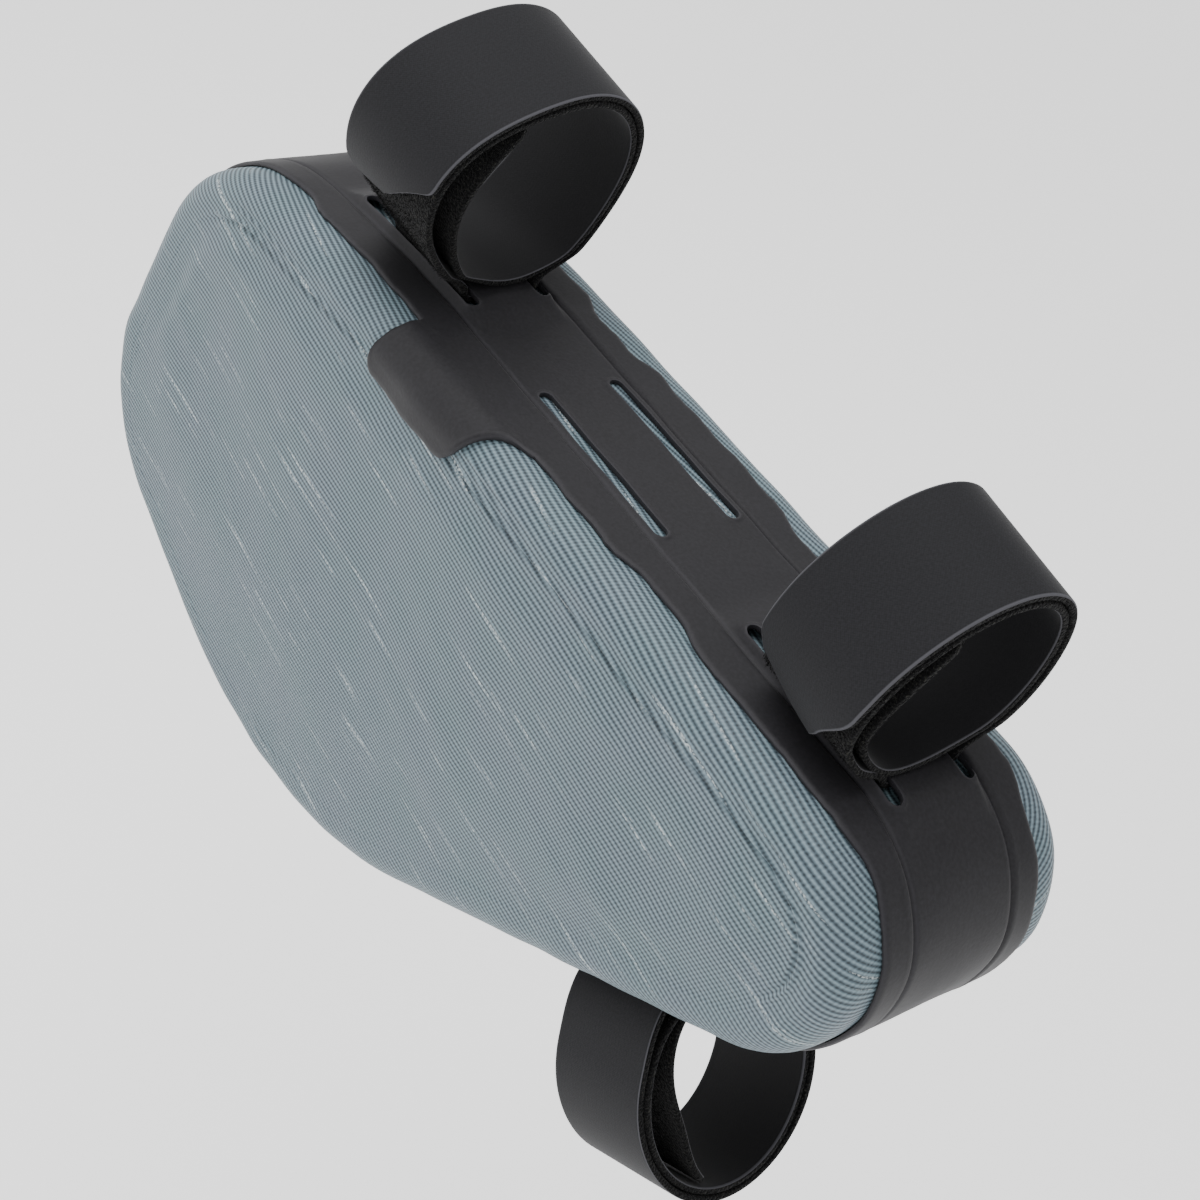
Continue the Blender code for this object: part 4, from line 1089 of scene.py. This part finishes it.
def make_strap(row):
    """The profile carried along the path, square to it, and closed at both ends."""
    path, walked, under_at = strap_path(row)
    way = unit(np.gradient(path, axis=0))
    square = np.stack([-way[:, 1], way[:, 0]], -1)
    profile = strap_profile()
    forward = -1 if row.name == "lower_strap" else 1
    from_end = walked[-1] - walked
    shape = END_SHAPES[row.name]
    front = end_cut(from_end, Corner(shape.run, shape.width)) + end_cut(walked, INNER_CORNER)
    rear = end_cut(from_end, REAR_CORNER) + end_cut(walked, INNER_CORNER)
    share = (profile[:, 0] * forward + 1) / 2
    low, high = -strap_width / 2 + rear, strap_width / 2 - front
    along = (low[:, None] + (high - low)[:, None] * share) * forward
    wobble = WOBBLE * np.sin(walked / WOBBLE_RUN)[:, None] * np.abs(profile[:, 0]) ** 4
    lift = profile[:, 1] * strap_thickness
    held_back = shape.slant * (strap_width / 2 + shape.shorter_side * along) * smooth(1 - from_end / SLANT_RUN)[:, None]
    run = walked[:, None] - held_back
    at = np.stack([np.interp(run, walked, path[:, axis]) for axis in (0, 1)], -1)
    off = unit(np.stack([np.interp(run, walked, square[:, axis]) for axis in (0, 1)], -1))
    flat = at + off * lift[None, :, None]
    points = strap_to_bag(row, along + wobble, flat[..., 0], flat[..., 1])
    rows, columns = points.shape[:2]
    faces = grid_faces(rows, columns, closed_columns=True)
    ring = np.arange(columns)
    side = np.where(profile[:, 1] < 0, -1, 1)
    over = np.concatenate([along / MM, along[:, :1] / MM], axis=1)
    corner_map = np.stack([np.broadcast_to(walked[:, None] / MM, over.shape), over], -1)
    row_of, column_of = faces[:, 0] // columns, faces[:, 0] % columns
    cloth = np.stack([
        corner_map[row_of, column_of], corner_map[row_of + 1, column_of],
        corner_map[row_of + 1, column_of + 1], corner_map[row_of, column_of + 1],
    ], axis=1)
    outward = profile[column_of, 1] < -0.35
    inward = profile[column_of, 1] > 0.35
    before_slot = walked[row_of] < under_at
    pile = (outward & before_slot) | (inward & ~before_slot) | (~outward & ~inward)
    face_finish = np.concatenate([pile.astype(int), [1, 1]])
    facing = np.where(walked[:, None] < under_at, side[None] > 0, side[None] < 0)
    cut = np.where(facing, np.clip((np.abs(profile[None, :, 0]) - 0.955) / 0.03, 0, 1), 0.0)
    # The mark "inner" paints shade on the laps inside the loop.
    piece = add_piece(row.name + "_ribbon", points.reshape(-1, 3), faces, [STRAP_FACE, STRAP_PILE],
                      (row.name,), cloth, (ring, ring + (rows - 1) * columns), face_finish, sharp=60,
                      marks={"cut": np.broadcast_to(cut, (rows, columns)).reshape(-1),
                             "inner": np.repeat((walked < under_at).astype(float), columns)})
    return piece


for row in STRAPS:
    make_strap(row)

# %% [markdown]
# ## The loop pile
# Pile is thousands of small nylon loops that stand off the strap in all directions. They show where a lap ends and
# along the cut edges, where they blur the outline. Each one is a bent sliver of three points, and all of them are one
# mesh. They are drawn thicker than real ones, so that they show.

# %% Build the pile
PILE_LENGTH, PILE_WIDTH = 0.9 * MM, 0.13 * MM
EDGE_COUNT, PATCH_COUNT = 5200, 5200
PATCH_BEGIN, PATCH_END = 52 * MM, 14 * MM  # before the place where the strap passes under the band
BARE_START, BARE_END = 3 * MM, 22 * MM
PILE_SEED = 61


def make_pile(row, seed):
    """Slivers at random places of the pile's edges and of its open patch, each with a root, a middle and a tip."""
    draw = np.random.default_rng(seed)
    path, walked, under_at = strap_path(row)
    way = unit(np.gradient(path, axis=0))
    square = np.stack([-way[:, 1], way[:, 0]], -1)
    run = np.concatenate([draw.uniform(BARE_START, walked[-1] - BARE_END, EDGE_COUNT),
                          draw.uniform(under_at - PATCH_BEGIN, under_at - PATCH_END, PATCH_COUNT)])
    before = run < under_at
    side = np.where(before, -1.0, 1.0)
    over_edge = np.sign(draw.uniform(-1, 1, EDGE_COUNT)) * (strap_width / 2 - draw.uniform(0, 0.5, EDGE_COUNT) * MM)
    over = np.concatenate([over_edge, draw.uniform(-1, 1, PATCH_COUNT) * strap_width / 2])
    depth = np.concatenate([draw.uniform(0.0, 0.5, EDGE_COUNT), np.full(PATCH_COUNT, 0.46)]) * strap_thickness
    at = np.stack([np.interp(run, walked, path[:, axis]) for axis in (0, 1)], -1)
    out = np.stack([np.interp(run, walked, square[:, axis]) for axis in (0, 1)], -1) * side[:, None]
    root = at + out * depth[:, None]
    count = len(run)
    edge = np.concatenate([np.sign(over_edge), np.zeros(PATCH_COUNT)])
    lean = np.stack([edge * draw.uniform(0.1, 0.8, count) + draw.uniform(-0.5, 0.5, count),
                     draw.uniform(-0.6, 0.6, count),
                     np.where(edge == 0, draw.uniform(0.4, 1.0, count), draw.uniform(-0.1, 0.25, count))], -1)
    stand = PILE_LENGTH * draw.uniform(0.4, 1.0, count)[:, None]
    curl = unit(draw.normal(size=(count, 3))) * 0.6

    def place(spot, offset):
        """A spot moved by an offset in the strap's own directions, then placed on the bag."""
        flat = spot + out * offset[:, 2:3] + np.stack([-out[:, 1], out[:, 0]], -1) * offset[:, 1:2]
        return strap_to_bag(row, over + offset[:, 0], flat[:, 0], flat[:, 1])

    thick = unit(draw.normal(size=(count, 3))) * PILE_WIDTH / 2
    middle = lean * stand * 0.6
    tip = lean * stand + curl * stand * 0.7
    points = np.stack([place(root, -thick), place(root, thick), place(root, middle + thick * 0.9),
                       place(root, middle - thick * 0.9), place(root, tip)], axis=1)
    start = np.arange(count)[:, None] * 5
    faces = np.concatenate([start + np.array([ring]) for ring in ([0, 1, 2], [0, 2, 3], [3, 2, 4])])
    return add_piece(row.name + "_pile", points.reshape(-1, 3), faces, [STRAP_PILE])


for number, row in enumerate(STRAPS):
    make_pile(row, PILE_SEED + number)

# %% [markdown]
# ## The zip
# The zip on the left face is out of the photograph's sight. It is a coated tape welded over the slit, with a fine
# coil down its middle. The tape is a stadium shape carried inward as rings, and the coil is a ridge whose height
# goes up and down along the line.

# %% Build the zip
ZIP_RINGS = np.array([
    # half width, height in millimetres, from the tape's underside to the top of the coil
    (10.2, 0.0), (11.0, 0.0), (11.0, 0.7), (10.6, 1.0), (6.0, 1.0), (3.6, 1.0), (2.7, 1.15), (2.3, 1.5), (1.6, 1.85),
    (0.9, 1.9), (0.3, 1.9),
])
LINE_POINTS, END_POINTS = 300, 24
COIL_FOOT, COIL_PITCH, COIL_WAVE = 1.4 * MM, 1.1 * MM, 0.16 * MM
TAPE_GRAIN = 0.6 * MM


def zip_tape_finish():
    """Black coated tape: a fine grain as colour and bump, with more gloss than the band."""
    finish, tree, shader = new_finish("coated_zip_tape", {"Roughness": 0.45, "Specular IOR Level": 0.45})
    place = add_node(tree, "ShaderNodeTexCoord", out="Object")
    grain = add_node(tree, NOISE, {"Vector": place, "Scale": 1 / TAPE_GRAIN, "Detail": 2.0})
    colour = add_node(tree, RAMP, {"Fac": grain}, stops=[(0.3, "#1D1D20"), (0.7, "#2A2A2E")])
    bump = add_node(tree, BUMP, {"Height": grain, "Strength": 0.6, "Distance": 0.05 * MM})
    tree.links.new(colour, shader.inputs["Base Color"])
    tree.links.new(bump, shader.inputs["Normal"])
    return finish


def make_zip():
    """Rings of a stadium from the tape's underside over its rim to the coil, which is fine waves along the line."""
    rear, front = zip_line()
    line = unit(front - rear)
    up = np.array([-line[1], line[0]])
    run = np.linalg.norm(front - rear)
    along = np.concatenate([
        np.linspace(0, run, LINE_POINTS), np.full(END_POINTS, run),
        np.linspace(run, 0, LINE_POINTS), np.zeros(END_POINTS),
    ])
    turn = np.concatenate([
        np.full(LINE_POINTS, 90.0), np.linspace(90, -90, END_POINTS),
        np.full(LINE_POINTS, -90.0), np.linspace(-90, -270, END_POINTS),
    ])
    turn = np.radians(turn)[:, None]
    half, high = ZIP_RINGS.T * MM
    base = bag_width / 2 + FACE_CROWN + clearance
    wave = COIL_WAVE * np.cos(along / COIL_PITCH * math.tau)[:, None] * (high > COIL_FOOT)
    spot = rear + line * along[:, None]
    reach = (line[None, None] * np.cos(turn)[..., None] + up * np.sin(turn)[..., None]) * half[None, :, None]
    flat = spot[:, None] + reach
    points = np.stack([flat[..., 0], base + high + wave, flat[..., 1]], -1)
    rows, columns = points.shape[:2]
    faces = grid_faces(rows, columns, closed_rows=True)
    caps = (np.arange(rows) * columns, np.arange(rows) * columns + columns - 1)
    return add_piece("left_zip_tape", points.reshape(-1, 3), faces, [zip_tape_finish()], ("left_zip",),
                     caps=caps, sharp=50)


make_zip()

# %% [markdown]
# ## Floor
# The bag hangs in the air as on a bicycle, over a plain pale floor well below it. The floor is matt paper that gives
# off a little light of its own, so that it stays pale to its far edge.

# %% Floor
FLOOR_DROP, FLOOR_HALF = 0.35, 60.0
PAPER_GRAIN = 3 * MM


def pale_floor():
    """Matt white paper: two near whites by a fine noise, with a little light of its own."""
    finish, tree, shader = new_finish("matt_white_paper", {
        "Roughness": 0.9, "Specular IOR Level": 0.1, "Emission Color": (1.0, 1.0, 1.0, 1.0), "Emission Strength": 0.7,
    })
    place = add_node(tree, "ShaderNodeTexCoord", out="Object")
    grain = add_node(tree, NOISE, {"Vector": place, "Scale": 1 / PAPER_GRAIN, "Detail": 2.0})
    colour = add_node(tree, RAMP, {"Fac": grain}, stops=[(0.3, "#F6F6F6"), (0.7, "#F9F9F9")])
    tree.links.new(colour, shader.inputs["Base Color"])
    return finish


floor_level = cad_low.z - FLOOR_DROP
floor_corners = np.array([(-1, -1), (1, -1), (1, 1), (-1, 1)]) * FLOOR_HALF
floor_mesh = bpy.data.meshes.new("floor")
floor_mesh.from_pydata(np.insert(floor_corners, 2, floor_level, axis=1).tolist(), [], [(0, 1, 2, 3)])
floor_mesh.materials.append(pale_floor())
floor = bpy.data.objects.new("floor", floor_mesh)
bpy.context.scene.collection.objects.link(floor)
print("floor below the origin in mm:", round(-floor_level / MM))

# %% [markdown]
# ## Light
# Soft light comes from a large lamp above, a weaker one on the left and a faint one beside the camera. A plain white
# world fills the shadows, as a studio's walls do.

# %% Light
Lamp = namedtuple("Lamp", "name place size power")
LAMPS = (
    Lamp("lamp_above", (-0.20, -0.15, 0.95), 0.9, 11.0),
    Lamp("lamp_beside_camera", (0.75, -0.65, 0.25), 0.7, 0.9),
    Lamp("lamp_left", (-0.8, -0.5, 0.25), 0.7, 2.4),
)
WORLD_STRENGTH = 0.85


def add_lamp(row, target):
    """A square soft lamp that looks at a point."""
    lamp = bpy.data.lights.new(row.name, "AREA")
    lamp.size = row.size
    lamp.energy = row.power
    holder = bpy.data.objects.new(row.name, lamp)
    holder.location = row.place
    holder.rotation_mode = "QUATERNION"
    holder.rotation_quaternion = (Vector(target) - Vector(row.place)).to_track_quat("-Z", "Y")
    bpy.context.scene.collection.objects.link(holder)


for row in LAMPS:
    add_lamp(row, (cad_low + cad_high) / 2)
world = bpy.data.worlds.new("studio")
bpy.context.scene.world = world
world.use_nodes = True
background = world.node_tree.nodes["Background"]
background.inputs["Color"].default_value = (1.0, 1.0, 1.0, 1.0)
background.inputs["Strength"].default_value = WORLD_STRENGTH
print("lamps:", [row.name for row in LAMPS])

# %% [markdown]
# ## Camera
# The camera stands to the right and in front of the bag and looks down on it. Its place, its directions and its lens
# were fitted to the bag's outline, so that the render can be laid beside the picture. Three unit directions are the
# columns of a camera's matrix: right, up and back.

# %% Camera
CAMERA_PLACE = (0.23916, -0.25067, 0.23127)
CAMERA_RIGHT = (0.5577, 0.7922, 0.2478)
CAMERA_DOWN = (0.6302, -0.2098, -0.7476)
CAMERA_AHEAD = (-0.5402, 0.5731, -0.6162)
LENS, FILM_WIDTH = 59.44, 36.0

camera_data = bpy.data.cameras.new("camera")
camera_data.lens = LENS
camera_data.sensor_width = FILM_WIDTH
camera = bpy.data.objects.new("camera", camera_data)
facing = np.eye(4)
facing[:3, 0], facing[:3, 1], facing[:3, 2] = CAMERA_RIGHT, -np.array(CAMERA_DOWN), -np.array(CAMERA_AHEAD)
facing[:3, 3] = CAMERA_PLACE
camera.matrix_world = Matrix(facing.tolist())
bpy.context.scene.collection.objects.link(camera)
bpy.context.scene.camera = camera
print("lens in mm:", LENS)

# %% [markdown]
# The solid model's size is printed. The dressed bag may differ from it by little more than a fold or a lip of cloth.

print("size in mm, solid model:", [round(v / MM, 1) for v in cad_high - cad_low])
